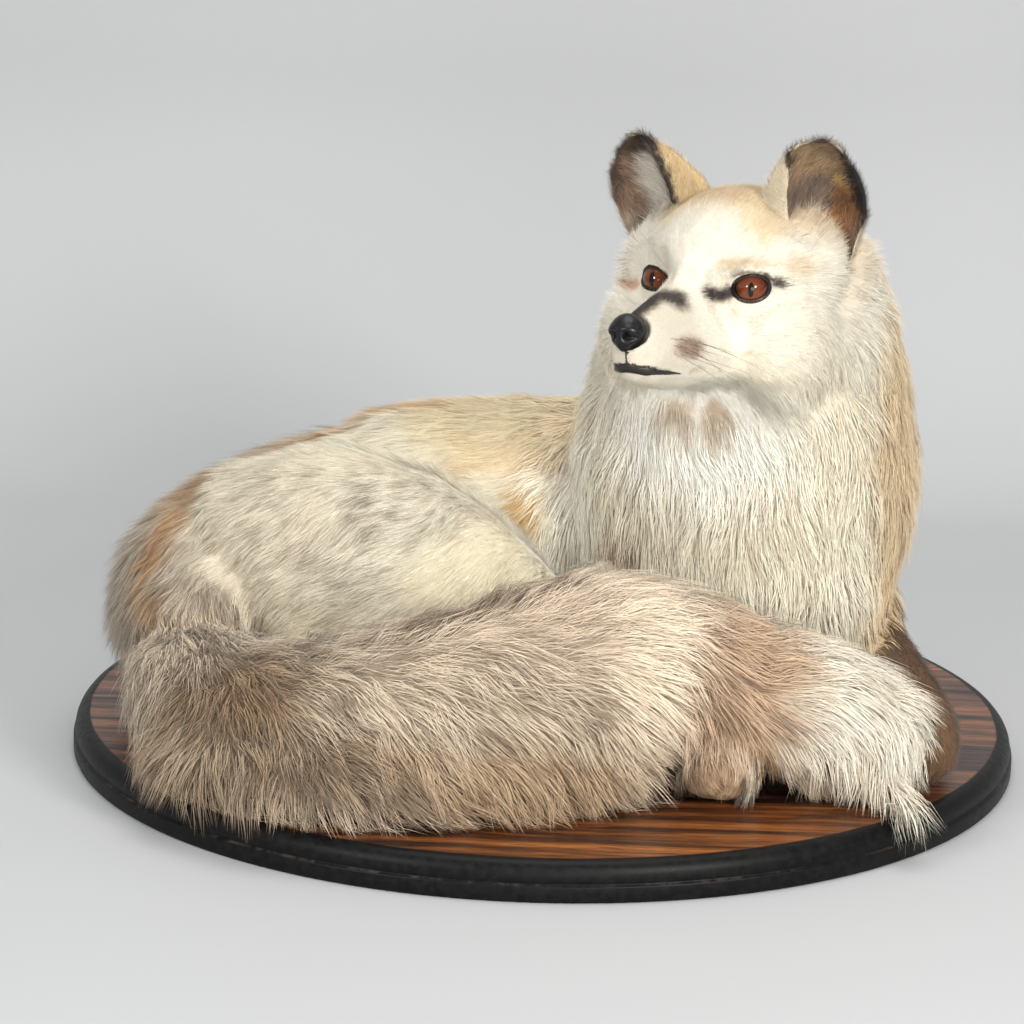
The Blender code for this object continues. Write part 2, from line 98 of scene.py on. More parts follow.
# ---------------------------------------------------------------- the fox's frames
HEAD_PLACE = Vector((0.084, -0.075, 0.2947))
HEAD_YAW = math.radians(31.2)
HEAD_PITCH = math.radians(-7.2)
HEAD_ROLL = math.radians(3.4)
SIDES = (1, -1)  # the fox's left, then its right
DOWN = np.array((0.0, 0.0, -1.0))

BOARD_TOP = 0.022
BOARD_RADIUS = 0.280

HEAD_PARTS = ("head", "jaw")
TRUNK_PARTS = ("neck", "chest", "belly", "rump", "thigh", "shank")
LEG_PARTS = ("foreleg_left", "foreleg_right", "forepaw_left", "forepaw_right")
TAIL_PARTS = tuple(f"tail_{k}" for k in range(1, 6))
EAR_PARTS = ("ear_left", "ear_right")
FLESH = HEAD_PARTS + TRUNK_PARTS + LEG_PARTS + TAIL_PARTS + EAR_PARTS

# ---------------------------------------------------------------- skin
SKIN_VOXEL = 0.0018
SKIN_SMOOTHING = 8
GROW = 0.0004  # closes the thin cuts between the solids
BODY_DETAIL = 0.16  # share of the triangles kept behind the head
EYE_RADIUS = 0.0098
LID = 0.0014  # thickness of the lids over the eye
LID_EDGE = EYE_RADIUS + 0.0009  # from the eye's middle to the edge of the lids
EYE_BACK = EYE_RADIUS - 0.0025  # from the eye's middle to the skin behind the eye
SOCKET_SLOPE = 0.75  # how steeply the skin rises from the lids
SOCKET_FADE = (0.036, 0.028)  # from the eye's middle: where the socket's effect ends, and where it is whole
# Each eye in the head's frame: its middle, then in degrees how far the opening between the lids faces to the
# left and how high its outer corner stands, half its width, its reach up and down, and where the iris looks.
EYES = {
    1: ((-0.0044, 0.0272, -0.0010), 27, 9, 80, 42, 46, (26, -6)),
    -1: ((-0.0026, -0.0302, 0.0004), -6, 9, 74, 43, 29, (1, 2)),
}
NOSE_ROOT = (0.095, 0.0, -0.018)  # where the face's hair starts from
NOSE_PLACE = (0.0815, -0.0022, -0.0262)
NOSE_BARE = 0.0105  # no hair grows this near its middle
# Line of the mouth in the head's frame, from under the nose to the corner, on the left side.
MOUTH = (
    (0.0835, 0.0, -0.0422), (0.0775, 0.0085, -0.0432), (0.0660, 0.0135, -0.0450), (0.0550, 0.0160, -0.0466),
)
LIP_WIDTH = (0.0056, 0.0042, 0.0024, 0.0009)  # of the dark lower lip, from the front to the corner
# Where the stuffed skin stands out from the solids or, below 0, in from them: middle, radii and how far, in
# the head's frame and in mm.
SWELLS = (
    ((4, -50, -2), (40, 26, 40), 9.0),
    ((-6, -50, -42), (38, 26, 26), 6.0),
    ((-24, 49, 34), (21, 22, 22), -14.5),
    ((-22, -43, 34), (18, 20, 18), -9.0),
    ((30, -9, 4), (15, 8, 9), -5.5),
)
MUZZLE_REACH = 0.003  # how far the tip of the muzzle is drawn forward
EAR_TIP = np.array((-0.0223, 0.0600, 0.0817))
EAR_BASE = np.array((-0.0420, 0.0480, 0.0220))
EAR_TURN = {1: math.radians(27), -1: math.radians(12)}
EAR_FOOT, EAR_TOP = -0.25, 0.99  # where each ear starts and ends, as shares of its height
EAR_WALL = 1.3  # thickness of its back, in mm
# Each ear from below its base to its tip: share of its height, then in mm the inner rim, the outer rim, how
# far the back flares on the inner side, and the depth of the cup.
EARS = {
    1: (
        (EAR_FOOT, -12, 14, -24, 12), (0.0, -16, 20, -35, 17), (0.30, -18.5, 25, -34, 17),
        (0.50, -19.5, 23, -31, 15), (0.70, -19.5, 17.5, -26, 11), (0.86, -18.5, 11, -20.5, 7),
        (0.95, -14, 6, -14.5, 4), (EAR_TOP, -8, 3, -8, 2),
    ),
    -1: (
        (EAR_FOOT, -8, 18, -26, 12), (0.0, -10.5, 26, -37, 17), (0.30, -11.5, 30, -37, 17),
        (0.50, -10.8, 31, -32, 15), (0.70, -9.6, 27, -22.5, 11), (0.86, -7.0, 18, -13, 7),
        (0.95, -4.5, 9, -6, 4), (EAR_TOP, -2, 4, -2.5, 2),
    ),
}

# ---------------------------------------------------------------- coat
# Of each part: the hair's length, the coat's depth, tufts per square millimetre and the tufts' width, in mm.
HAIR = {
    "head": (10, 3, 0.60, 0.50),
    "jaw": (9, 2, 0.70, 0.45),
    "neck": (27, 6, 0.40, 0.52),
    "chest": (33, 7, 0.40, 0.52),
    "belly": (19, 5, 1.00, 0.44),
    "rump": (27, 9, 0.88, 0.47),
    "thigh": (15, 6, 1.15, 0.42),
    "shank": (20, 6, 0.40, 0.50),
    "foreleg_left": (11, 3.5, 0.70, 0.46),
    "foreleg_right": (11, 3.5, 0.80, 0.44),
    "forepaw_left": (7, 2.0, 1.1, 0.40),
    "forepaw_right": (8, 2.6, 1.6, 0.36),
    "tail_1": (31, 13, 0.50, 0.52),
    "tail_2": (33, 13, 0.50, 0.52),
    "tail_3": (34, 12, 0.50, 0.52),
    "tail_4": (33, 11, 0.50, 0.52),
    "tail_5": (34, 10, 0.52, 0.52),
    "ear_left": (7.0, 2.9, 2.1, 0.32),
    "ear_right": (7.0, 2.6, 2.0, 0.32),
}
# The face's hair: its length from the ruff to the nose, by how far forward it grows in the head's frame, then
# its depth, tufts per square millimetre and the tufts' width by its length, in mm.
FACE_LENGTH = ((-80, -55, -30, 0, 30, 60, 80), (24, 20, 14, 8, 5.5, 3.6, 2.6))
FACE_STEPS = (3, 6, 10, 20, 30)
FACE_COAT = ((0.5, 1.0, 2.0, 4.5, 6.0), (2.1, 1.7, 1.25, 0.75, 0.50), (0.28, 0.32, 0.36, 0.46, 0.52))
EYE_HAIR = 2.4  # length of the hair round the eyes, in mm
EAR_INSIDE = 1.55  # how many times longer the hair is inside the ears
SPINE = (
    (0.136, -0.030, 0.104), (0.128, 0.010, 0.112), (0.086, 0.056, 0.110), (0.010, 0.076, 0.104),
    (-0.078, 0.078, 0.100), (-0.160, 0.050, 0.092), (-0.204, -0.005, 0.086), (-0.206, -0.058, 0.076),
)
TAIL = (
    (-0.204, -0.068, 0.064), (-0.194, -0.108, 0.062), (-0.162, -0.148, 0.062), (-0.112, -0.166, 0.066),
    (-0.045, -0.166, 0.074), (0.020, -0.158, 0.090), (0.068, -0.148, 0.091), (0.110, -0.144, 0.076),
    (0.156, -0.150, 0.067), (0.188, -0.156, 0.060), (0.198, -0.198, 0.030),
)
LEGS = {
    "foreleg_right": ((0.034, -0.032, 0.090), (0.078, -0.100, 0.050), (0.094, -0.190, 0.030)),
    "forepaw_right": ((0.090, -0.100, 0.070), (0.094, -0.190, 0.022)),
    "foreleg_left": ((0.176, 0.030, 0.100), (0.200, -0.040, 0.050), (0.212, -0.150, 0.030)),
    "forepaw_left": ((0.208, -0.080, 0.070), (0.214, -0.150, 0.022)),
}
THIGH_LIE = (-0.80, -0.25, -0.55)
WHORL = (-0.178, -0.198, 0.088)  # where the tail's hair parts and fans out downwards
CLUMP = 9  # tufts that lean together
MOST_TRIANGLES = 190000
DENSITY = 0.65
PATCH = 0.003  # size of a tuft's patch on the unwrap
SOFTNESS = 1.5  # how far the tufts are lit as the skin below them is
UNWRAP_TRIANGLES = 12000
# painted shade: the roots, and the skin below the coat, are darker the longer the hair, as shade deep in the
# coat
SHADES = ((0.003, 0.010, 0.025), (0.95, 0.91, 0.88))  # how dark the roots are, by the hair's length
TIP_SHADE = 1.05
COATS = (  # name, parts, rings of each tuft
    ("head", HEAD_PARTS, 1),
    ("ears", EAR_PARTS, 1),
    ("neck", ("neck",), 2),
    ("chest", ("chest",), 2),
    ("back", ("belly",), 1),
    ("rump", ("rump",), 1),
    ("thigh", ("thigh", "shank"), 1),
    ("legs", LEG_PARTS, 1),
    ("tail_root", ("tail_1", "tail_2"), 2),
    ("tail_middle", ("tail_3", "tail_4"), 2),
    ("tail_tip", ("tail_5",), 2),
)

# ---------------------------------------------------------------- markings
CREAM = (0.80, 0.75, 0.63)
WHITE = (0.82, 0.76, 0.63)
FAWN = (0.60, 0.48, 0.35)
TAN = (0.72, 0.54, 0.33)
OCHRE = (0.70, 0.48, 0.24)
GREY_TAIL = (0.68, 0.56, 0.42)
BROWN_TAIL = (0.60, 0.42, 0.28)
DARK_TAIL = (0.13, 0.085, 0.055)
TICKING = (0.26, 0.20, 0.15)
LEG = (0.24, 0.14, 0.08)
LEG_DARK = (0.06, 0.035, 0.022)
BLACK = (0.020, 0.017, 0.016)
BROWN_EAR = (0.36, 0.235, 0.16)
DARK_EAR = (0.065, 0.045, 0.036)
MASK = (0.11, 0.093, 0.082)
MASK_EDGE = (0.14, 0.12, 0.105)
RIM = np.array((0.012, 0.010, 0.010))
# Light hair, dark hair and share of dark hairs of marks that come in pairs.
BREAST_SHADOW = ((0.62, 0.50, 0.37), (0.24, 0.17, 0.11), 0.45)
BROW = ((0.78, 0.66, 0.47), (0.58, 0.40, 0.20), 0.25)
WHISKER_SPOT = ((0.50, 0.38, 0.29), (0.18, 0.12, 0.09), 0.65)
# Of each part: its light hair, its dark hair and the share of dark hairs.
BASE = {
    **dict.fromkeys(HEAD_PARTS, (CREAM, FAWN, 0.04)),
    "neck": ((0.78, 0.64, 0.43), (0.58, 0.42, 0.25), 0.20),
    "chest": ((0.80, 0.62, 0.40), (0.56, 0.37, 0.19), 0.15),
    "belly": ((0.86, 0.65, 0.42), (0.62, 0.40, 0.20), 0.15),
    "rump": ((0.56, 0.48, 0.37), (0.15, 0.11, 0.085), 0.35),
    "thigh": ((0.88, 0.79, 0.61), (0.20, 0.15, 0.11), 0.16),
    "shank": ((0.74, 0.62, 0.44), TICKING, 0.20),
    **dict.fromkeys(("foreleg_left", "forepaw_left"), (LEG, LEG_DARK, 0.5)),
    "foreleg_right": ((0.42, 0.29, 0.18), (0.13, 0.08, 0.055), 0.5),
    "forepaw_right": ((0.72, 0.51, 0.32), (0.15, 0.09, 0.055), 0.42),
    **dict.fromkeys(("tail_1", "tail_2"), (GREY_TAIL, DARK_TAIL, 0.38)),
    **dict.fromkeys(("tail_3", "tail_4"), (GREY_TAIL, DARK_TAIL, 0.32)),
    "tail_5": (WHITE, FAWN, 0.12),
    **dict.fromkeys(EAR_PARTS, (BROWN_EAR, DARK_EAR, 0.35)),
}
# What a mark is kept to.
KEPT_TO = {
    "all": FLESH,
    "head": HEAD_PARTS,
    "trunk": TRUNK_PARTS,
    "tail": TAIL_PARTS,
    "body": tuple(part for part in FLESH if part not in TAIL_PARTS),
}
# Marks in order: where (the frame, then what it is kept to), middle and radii in mm, softness, light hair,
# dark hair and the share of dark hairs. The frame "face" is the head's with a finer waver.
MARKS = (
    ("world body", (-116, 20, 166), (64, 64, 60), 0.22, (0.90, 0.81, 0.63), (0.34, 0.26, 0.19), 0.06),
    ("world body", (-84, -70, 140), (62, 44, 46), 0.40, (0.92, 0.84, 0.67), (0.15, 0.11, 0.08), 0.40),
    ("world body", (-160, -60, 140), (50, 34, 34), 0.40, (0.86, 0.77, 0.60), (0.18, 0.13, 0.10), 0.25),
    ("world body", (-25, -75, 122), (56, 46, 24), 0.35, (0.90, 0.81, 0.60), FAWN, 0.06),
    ("world body", (20, -20, 150), (50, 46, 60), 0.35, (0.93, 0.88, 0.75), FAWN, 0.02),
    ("world body", (-30, 46, 192), (52, 40, 30), 0.35, (0.93, 0.77, 0.51), (0.70, 0.48, 0.27), 0.15),
    ("world body", (-32, 6, 142), (42, 25, 20), 0.30, (0.92, 0.84, 0.66), FAWN, 0.03),
    ("world body", (-12, 5, 145), (7, 14, 14), 0.20, OCHRE, (0.45, 0.27, 0.12), 0.15),
    ("world body", (100, -75, 150), (98, 64, 135), 0.25, (0.90, 0.82, 0.645), (0.56, 0.46, 0.34), 0.12),
    ("world body", (74, -90, 214), (60, 60, 34), 0.45, (0.93, 0.90, 0.80), (0.62, 0.52, 0.40), 0.06),
    ("world body", (39, -52, 134), (18, 24, 22), 0.40, (0.66, 0.55, 0.42), (0.22, 0.16, 0.12), 0.45),
    ("world body", (69, -74, 221), (12, 18, 7), 0.60, *BREAST_SHADOW),
    ("world body", (91, -82, 220), (7, 18, 9), 0.60, *BREAST_SHADOW),
    ("world body", (205, -30, 200), (24, 40, 60), 0.40, (0.74, 0.58, 0.38), (0.52, 0.36, 0.20), 0.25),
    ("world tail", (-30, -190, 124), (60, 30, 24), 0.45, (0.70, 0.57, 0.43), (0.16, 0.11, 0.075), 0.30),
    ("world tail", (-178, -196, 84), (42, 34, 30), 0.50, (0.36, 0.24, 0.14), (0.065, 0.043, 0.028), 0.58),
    # darker brown hair, with painted shade under the overhanging locks low on the tail
    ("world tail", (-120, -225, 60), (62, 24, 20), 0.45, (0.42, 0.31, 0.21), (0.09, 0.060, 0.042), 0.55),
    ("world tail", (-190, -190, 50), (46, 46, 26), 0.45, (0.46, 0.35, 0.24), (0.11, 0.075, 0.052), 0.45),
    ("world tail", (32, -160, 138), (24, 26, 16), 0.45, (0.84, 0.70, 0.54), (0.30, 0.21, 0.14), 0.18),
    # brownish hair, with painted shadow under the white tip of the tail
    ("world tail", (152, -182, 42), (30, 26, 18), 0.50, (0.52, 0.43, 0.31), (0.22, 0.16, 0.10), 0.35),
    ("world tail", (52, -192, 112), (25, 44, 50), 0.45, (0.86, 0.72, 0.55), (0.50, 0.36, 0.25), 0.15),
    ("world tail", (104, -180, 100), (30, 44, 50), 0.50, BROWN_TAIL, (0.18, 0.11, 0.07), 0.38),
    ("world tail", (-20, -214, 50), (80, 30, 24), 0.40, (0.50, 0.36, 0.23), (0.16, 0.10, 0.06), 0.38),
    ("face all", (66, 0, -22), (30, 30, 30), 0.45, (0.64, 0.585, 0.47), FAWN, 0.04),
    ("head head", (-34, 0, 46), (36, 46, 24), 0.40, (0.68, 0.53, 0.35), (0.50, 0.34, 0.18), 0.38),
    ("head head", (-12, 26, 34), (16, 14, 16), 0.45, *BROW),
    ("head head", (-12, -26, 34), (16, 12, 16), 0.45, *BROW),
    ("head head", (-62, 0, 20), (40, 60, 60), 0.30, TAN, FAWN, 0.20),
    ("face all", (14, 23, 12), (12, 7, 4), 0.45, (0.70, 0.59, 0.43), FAWN, 0.15),
    ("face all", (53, 21, -33), (13, 6, 6), 0.45, *WHISKER_SPOT),
    ("face all", (53, -21, -33), (13, 6, 6), 0.45, *WHISKER_SPOT),
    ("face all", (-4, -50, -4), (6, 5, 4), 0.45, (0.62, 0.42, 0.29), (0.34, 0.20, 0.13), 0.30),
    ("face all", (-9, 54, 13), (12, 10, 8), 0.45, (0.76, 0.64, 0.48), (0.44, 0.32, 0.22), 0.30),
    ("face all", (-22, -54, 8), (12, 10, 8), 0.45, (0.76, 0.66, 0.52), (0.48, 0.36, 0.26), 0.30),
)
# Marks along lines: where, the line in mm, half its width, light hair, dark hair and the share of dark hairs.
STRIPES = (
    (
        "world trunk",
        (
            (-62, 76, 200), (-93, 90, 192), (-187, 43, 168), (-224, -32, 142), (-231, -59, 124),
            (-228, -98, 97),
        ),
        12, (0.60, 0.39, 0.215), (0.30, 0.16, 0.075), 0.38,
    ),
    (
        "world tail", ((-80, -171, 112), (-50, -171, 122), (-25, -167, 131), (-6, -166, 136)),
        9, (0.34, 0.25, 0.17), (0.060, 0.040, 0.028), 0.75,
    ),
    ("face head", ((86, -2, -14), (73, -4, -12), (62, -5, -10)), 7.5, MASK, BLACK, 0.75),
    (
        "face head", ((70, -3, -11), (56, -3, -10), (51, -1, -9), (49, 3, -8.5), (46, 7, -9)),
        7.2, MASK, BLACK, 0.75,
    ),
    ("face head", ((26, 13, -4), (16, 13, -5.5), (8, 16, -5.5), (0, 19, -3.5)), 3.8, MASK, BLACK, 0.75),
    ("face head", ((11, 15, -6), (0, 19, -3), (-1, 20, 1)), 3.2, MASK, BLACK, 0.75),
    ("face head", ((-1, 37.5, 4.5), (-5, 41, 3), (-8, 44, 2.5)), 2.8, MASK_EDGE, BLACK, 0.65),
    ("face head", ((8, 22, 6), (6, 28, 7.0), (1, 35, 7)), 1.7, (0.40, 0.33, 0.26), BLACK, 0.35),
    ("face head", ((12, -24, 2), (22, -15, 3)), 3.0, MASK_EDGE, BLACK, 0.65),
    # painted shade along the fold of the brow above the left eye
    ("face head", ((17, 18, 13), (7, 29, 13), (-5, 41, 12)), 1.8, (0.64, 0.52, 0.36), FAWN, 0.10),
    # painted shade along the crease from the corner of the mouth over the left cheek
    ("face head", ((47, 19, -47), (14, 34, -37), (-21, 63, -24)), 1.7, (0.62, 0.52, 0.36), FAWN, 0.10),
)
# Marks on the ears: which side of the cup, middle and reach (from -1 at the inner rim to 1 at the outer rim,
# and as the share of its height), light hair, dark hair and the share of dark hairs.
EAR_MARKS = {
    1: (
        ("outside", (0.0, 0.4), (4.0, 1.2), (0.72, 0.62, 0.46), (0.50, 0.40, 0.28), 0.20),
        ("inside", (-0.25, 0.78), (0.75, 0.28), (0.42, 0.29, 0.17), (0.10, 0.065, 0.04), 0.45),
        ("inside", (0.35, 0.60), (0.15, 0.08), (0.58, 0.40, 0.17), (0.40, 0.25, 0.10), 0.20),
        ("inside", (0.45, 0.26), (0.32, 0.30), (0.48, 0.24, 0.11), (0.09, 0.045, 0.025), 0.48),
        ("inside", (-0.45, 0.42), (0.60, 0.18), (0.30, 0.22, 0.17), (0.08, 0.055, 0.045), 0.55),
        ("inside", (-0.45, 0.08), (0.62, 0.22), (0.76, 0.65, 0.52), (0.50, 0.38, 0.28), 0.12),
        ("rim", (1.0, 0.58), (0.36, 0.34), (0.055, 0.042, 0.036), BLACK, 0.7),
        ("rim", (0.2, 1.02), (1.0, 0.07), (0.12, 0.08, 0.06), BLACK, 0.6),
        ("rim", (-1.0, 0.80), (0.12, 0.10), (0.10, 0.07, 0.05), BLACK, 0.6),
    ),
    -1: (
        ("outside", (0.0, 0.4), (4.0, 1.2), (0.74, 0.56, 0.33), (0.56, 0.36, 0.17), 0.30),
        ("inside", (-0.25, 0.35), (0.62, 0.50), (0.80, 0.74, 0.64), (0.50, 0.40, 0.32), 0.14),
        ("inside", (0.0, 0.0), (1.3, 0.20), (0.82, 0.75, 0.62), (0.56, 0.44, 0.32), 0.12),
        ("inside", (0.0, 0.92), (1.2, 0.16), (0.13, 0.09, 0.07), DARK_EAR, 0.5),
        ("rim", (1.05, 0.70), (0.22, 0.35), (0.16, 0.11, 0.085), DARK_EAR, 0.6),
        ("rim", (-0.98, 0.62), (0.16, 0.50), (0.14, 0.11, 0.09), BLACK, 0.7),
        ("rim", (-0.8, 0.93), (0.7, 0.12), (0.05, 0.04, 0.035), BLACK, 0.8),
    ),
}

# ---------------------------------------------------------------- face
LID_ROWS = (  # angle out from the opening's edge, height over the eye
    (-0.06, -0.0006), (-0.01, 0.0003), (0.03, 0.0009), (0.07, 0.0011), (0.11, 0.0009), (0.15, 0.0003),
    (0.21, -0.0010),
)
PUPIL = (0.16, 0.46)  # half width and half height, as shares of the eye's radius
CORNEA = 0.045  # how far it stands out, as a share of the eye's radius
NOSE_RADII = (0.0098, 0.0107, 0.0108)
SEAM = ((0.0890, -0.0012, -0.0345), (0.0865, -0.0006, -0.0385), (0.0835, 0.0, -0.0425))
WHISKER_PAD = (0.066, 0.0180, -0.0280)

# ---------------------------------------------------------------- board and studio
BOARD_SIDES = 200
BOARD_PROFILE = (  # how far in from the rim, and height, in mm
    (280.0, 0.0), (1.6, 0.0), (0.5, 0.5), (0.0, 1.5), (0.0, 8.6), (0.3, 9.4), (1.1, 9.8), (1.6, 10.2),
    (1.5, 10.8), (1.2, 11.8), (1.2, 13.5), (1.55, 15.8), (2.6, 18.2), (4.2, 20.2), (6.2, 21.4), (8.4, 21.9),
    (9.7, 22.0), (12.0, 22.0), (30.0, 22.0), (280.0, 22.0),
)
WORN_LINE = 0.0098  # height of the step, where the paint is worn
PAINTED = 0.0095  # how far in from the rim the black paint reaches
FLOOR_ROUGHNESS = 0.6
FLOOR_HALF = 2.5
FLOOR_FRONT = -3.0
BACKDROP = 0.85
SWEEP = 0.30  # radius of the curve between them
BACKDROP_HEIGHT = 3.0
FLOOR_COLOUR = (0.49, 0.50, 0.505)
LAMPS = (  # name, place, target, diameter, watts, colour
    ("key", (0.95, -1.60, 0.90), (0.0, 0.0, 0.15), 0.50, 28.0, (1.0, 0.975, 0.93)),
    ("fill", (-1.25, -1.60, 1.00), (0.0, 0.0, 0.15), 0.50, 17.0, (1.0, 0.99, 0.98)),
    ("front", (0.25, -2.2, 0.40), (0.0, 0.0, 0.15), 0.90, 9.0, (1.0, 0.99, 0.97)),
    ("top", (0.0, 0.05, 2.2), (0.0, 0.0, 0.1), 1.4, 20.0, (1.0, 0.99, 0.97)),
)
WORLD_COLOUR = (0.95, 0.97, 1.0)
WORLD_POWER = 0.44


def head_matrix():
    """World placement of the head's frame: +X to the nose, +Y to the fox's left, +Z up."""
    forward = Vector((-math.sin(HEAD_YAW), -math.cos(HEAD_YAW), 0.0))
    up = Vector((0.0, 0.0, 1.0))
    basis = Matrix((forward, up.cross(forward), up)).transposed()
    turn = basis @ Euler((HEAD_ROLL, HEAD_PITCH, 0.0)).to_matrix()
    return Matrix.Translation(HEAD_PLACE) @ turn.to_4x4()


HEAD = head_matrix()


def read_mesh(mesh):
    """(points, triangles) of a mesh as arrays."""
    mesh.calc_loop_triangles()
    points = np.empty(len(mesh.vertices) * 3)
    mesh.vertices.foreach_get("co", points)
    faces = np.empty(len(mesh.loop_triangles) * 3, np.int32)
    mesh.loop_triangles.foreach_get("vertices", faces)
    return points.reshape(-1, 3), faces.reshape(-1, 3)


def make_mesh(name, points, faces):
    """A mesh of triangles from arrays."""
    mesh = bpy.data.meshes.new(name)
    mesh.vertices.add(len(points))
    mesh.vertices.foreach_set("co", np.ascontiguousarray(points, np.float32).ravel())
    mesh.loops.add(faces.size)
    mesh.loops.foreach_set("vertex_index", np.ascontiguousarray(faces, np.int32).ravel())
    mesh.polygons.add(len(faces))
    mesh.polygons.foreach_set("loop_start", np.arange(0, faces.size, faces.shape[1], dtype=np.int32))
    mesh.update(calc_edges=True)
    mesh.validate()
    return mesh


def show(name, mesh):
    """An object with this mesh, in the scene."""
    obj = bpy.data.objects.new(name, mesh)
    bpy.context.collection.objects.link(obj)
    return obj


def unit(vectors):
    return vectors / np.maximum(np.linalg.norm(vectors, axis=-1, keepdims=True), 1e-12)


def smoothstep(low, high, value):
    t = np.clip((value - low) / (high - low), 0.0, 1.0)
    return t * t * (3.0 - 2.0 * t)


def placed(points, matrix):
    """The points moved by a placement."""
    turn = np.array(matrix)
    return points @ turn[:3, :3].T + turn[:3, 3]


def to_head(points):
    """World points in the head's frame."""
    return placed(points, HEAD.inverted())


def head_vectors(vectors):
    """Vectors of the head's frame in the world."""
    return vectors @ np.array(HEAD)[:3, :3].T


def from_line(points, line):
    """(share, distance): how far along each stretch of a line a point's nearest place is, and how far off."""
    step = np.diff(line, axis=0)
    apart = points[:, None, :] - line[None, :-1]
    share = np.clip((apart * step).sum(-1) / (step * step).sum(-1), 0.0, 1.0)
    return share, np.linalg.norm(apart - share[..., None] * step, axis=-1)


def spline(a, b, c, d, share):
    """A smooth curve through a, b, c and d, at a share of the way from b to c."""
    bend = (2 * a - 5 * b + 4 * c - d) * share**2 + (3 * b - a - 3 * c + d) * share**3
    return 0.5 * (2 * b + (c - a) * share + bend)


def grid_faces(high, wide, closed=True):
    """Triangles of a grid of points in rows, each row going round if closed."""
    faces = []
    across = np.arange(wide if closed else wide - 1)
    for row in range(high - 1):
        a = row * wide + across
        b = row * wide + (across + 1) % wide
        faces += [np.stack([a, b, b + wide], axis=1), np.stack([a, b + wide, a + wide], axis=1)]
    return np.concatenate(faces)


def on(nodes, parts):
    """Whether each index in FLESH is that of one of these parts."""
    return np.isin(nodes, [FLESH.index(part) for part in parts])


# ---------------------------------------------------------------- the solids of flesh
class Flesh:
    """The outline of the coat without the ears: every node's triangles, and the node that each belongs to."""

    def __init__(self, frame):
        points, faces, owner, start = [], [], [], 0
        for index, name in enumerate(FLESH[: -len(EAR_PARTS)]):
            p, f = read_mesh(frame["nodes"][name].data)
            _, first, back = np.unique(np.round(p, 6), axis=0, return_index=True, return_inverse=True)
            p, f = p[first], back.reshape(-1)[f]
            p = p + GROW * vertex_normals(p, f)
            points.append(p)
            faces.append(f + start)
            owner.append(np.full(len(f), index))
            start += len(p)
        self.points = np.concatenate(points)
        self.faces = np.concatenate(faces)
        self.owner = np.concatenate(owner)
        self.tree = BVHTree.FromPolygons(self.points.tolist(), self.faces.tolist())

    def nearest_node(self, points):
        """Index in FLESH of the node whose surface is nearest to each point."""
        return np.array([self.owner[self.tree.find_nearest(p)[2]] for p in points.tolist()])


def vertex_normals(points, faces):
    """Area-weighted normal at each point."""
    corners = points[faces]
    across = np.cross(corners[:, 1] - corners[:, 0], corners[:, 2] - corners[:, 0])
    normals = np.zeros_like(points)
    for k in range(3):
        np.add.at(normals, faces[:, k], across)
    return unit(normals)


def neighbours(faces):
    """Each edge of a triangle mesh once."""
    edges = np.concatenate([faces[:, [0, 1]], faces[:, [1, 2]], faces[:, [2, 0]]])
    edges.sort(axis=1)
    return np.unique(edges, axis=0)


def relaxed(field, edges, rounds):
    """A field over a mesh's points, with each value drawn towards its neighbours' mean."""
    field = np.array(field, float)
    flat = field.reshape(len(field), -1)
    count = np.bincount(edges.ravel(), minlength=len(field))[:, None]
    for _ in range(rounds):
        mean = np.stack(
            [
                np.bincount(edges[:, 0], flat[edges[:, 1], k], len(field))
                + np.bincount(edges[:, 1], flat[edges[:, 0], k], len(field))
                for k in range(flat.shape[1])
            ],
            axis=1,
        )
        flat = 0.5 * flat + 0.5 * mean / np.maximum(count, 1)
    return flat.reshape(field.shape)


def wobble(points, scale, shift=0.0):
    """Smooth noise vectors, each part within about -1 to 1, that change over a length of 1 / scale."""
    return np.array([noise.noise_vector(p) for p in (points * scale + shift).tolist()])


def by_node(table, nodes):
    """Row of a table keyed by node name for each index in FLESH."""
    return np.array([table[name] for name in FLESH], float)[nodes]


# ---------------------------------------------------------------- how long and how deep the coat is
def hair(points, nodes):
    """(length, depth, tufts per square metre, width) of the coat at each point, in metres."""
    values = by_node(HAIR, nodes)
    local = to_head(points) * 1000.0
    x, y, z = local.T
    length = np.interp(x, *FACE_LENGTH)
    length = np.where((z > 15) & (x < 5), length * 0.75, length)
    low = smoothstep(-48, -60, z) * smoothstep(50, 20, x)
    length = length + 12 * low
    length = length + 5 * smoothstep(-30, -48, y) * smoothstep(50, 20, x)
    for side in SIDES:
        near = smoothstep(0.020, 0.011, eye_angles(points, side)[2])
        length = length * (1 - near) + EYE_HAIR * near
    face = np.stack([length, *(np.interp(length, FACE_STEPS, row) for row in FACE_COAT)], axis=1)
    values = np.where(on(nodes, HEAD_PARTS)[:, None], face, values)
    return values * (1e-3, 1e-3, 1e6, 1e-3)


# ---------------------------------------------------------------- which way the hair lies
def along(points, line):
    """Direction of a polyline at the place nearest to each point."""
    line = np.array(line, float)
    away = from_line(points, line)[1]
    return unit(np.diff(line, axis=0))[away.argmin(axis=1)]


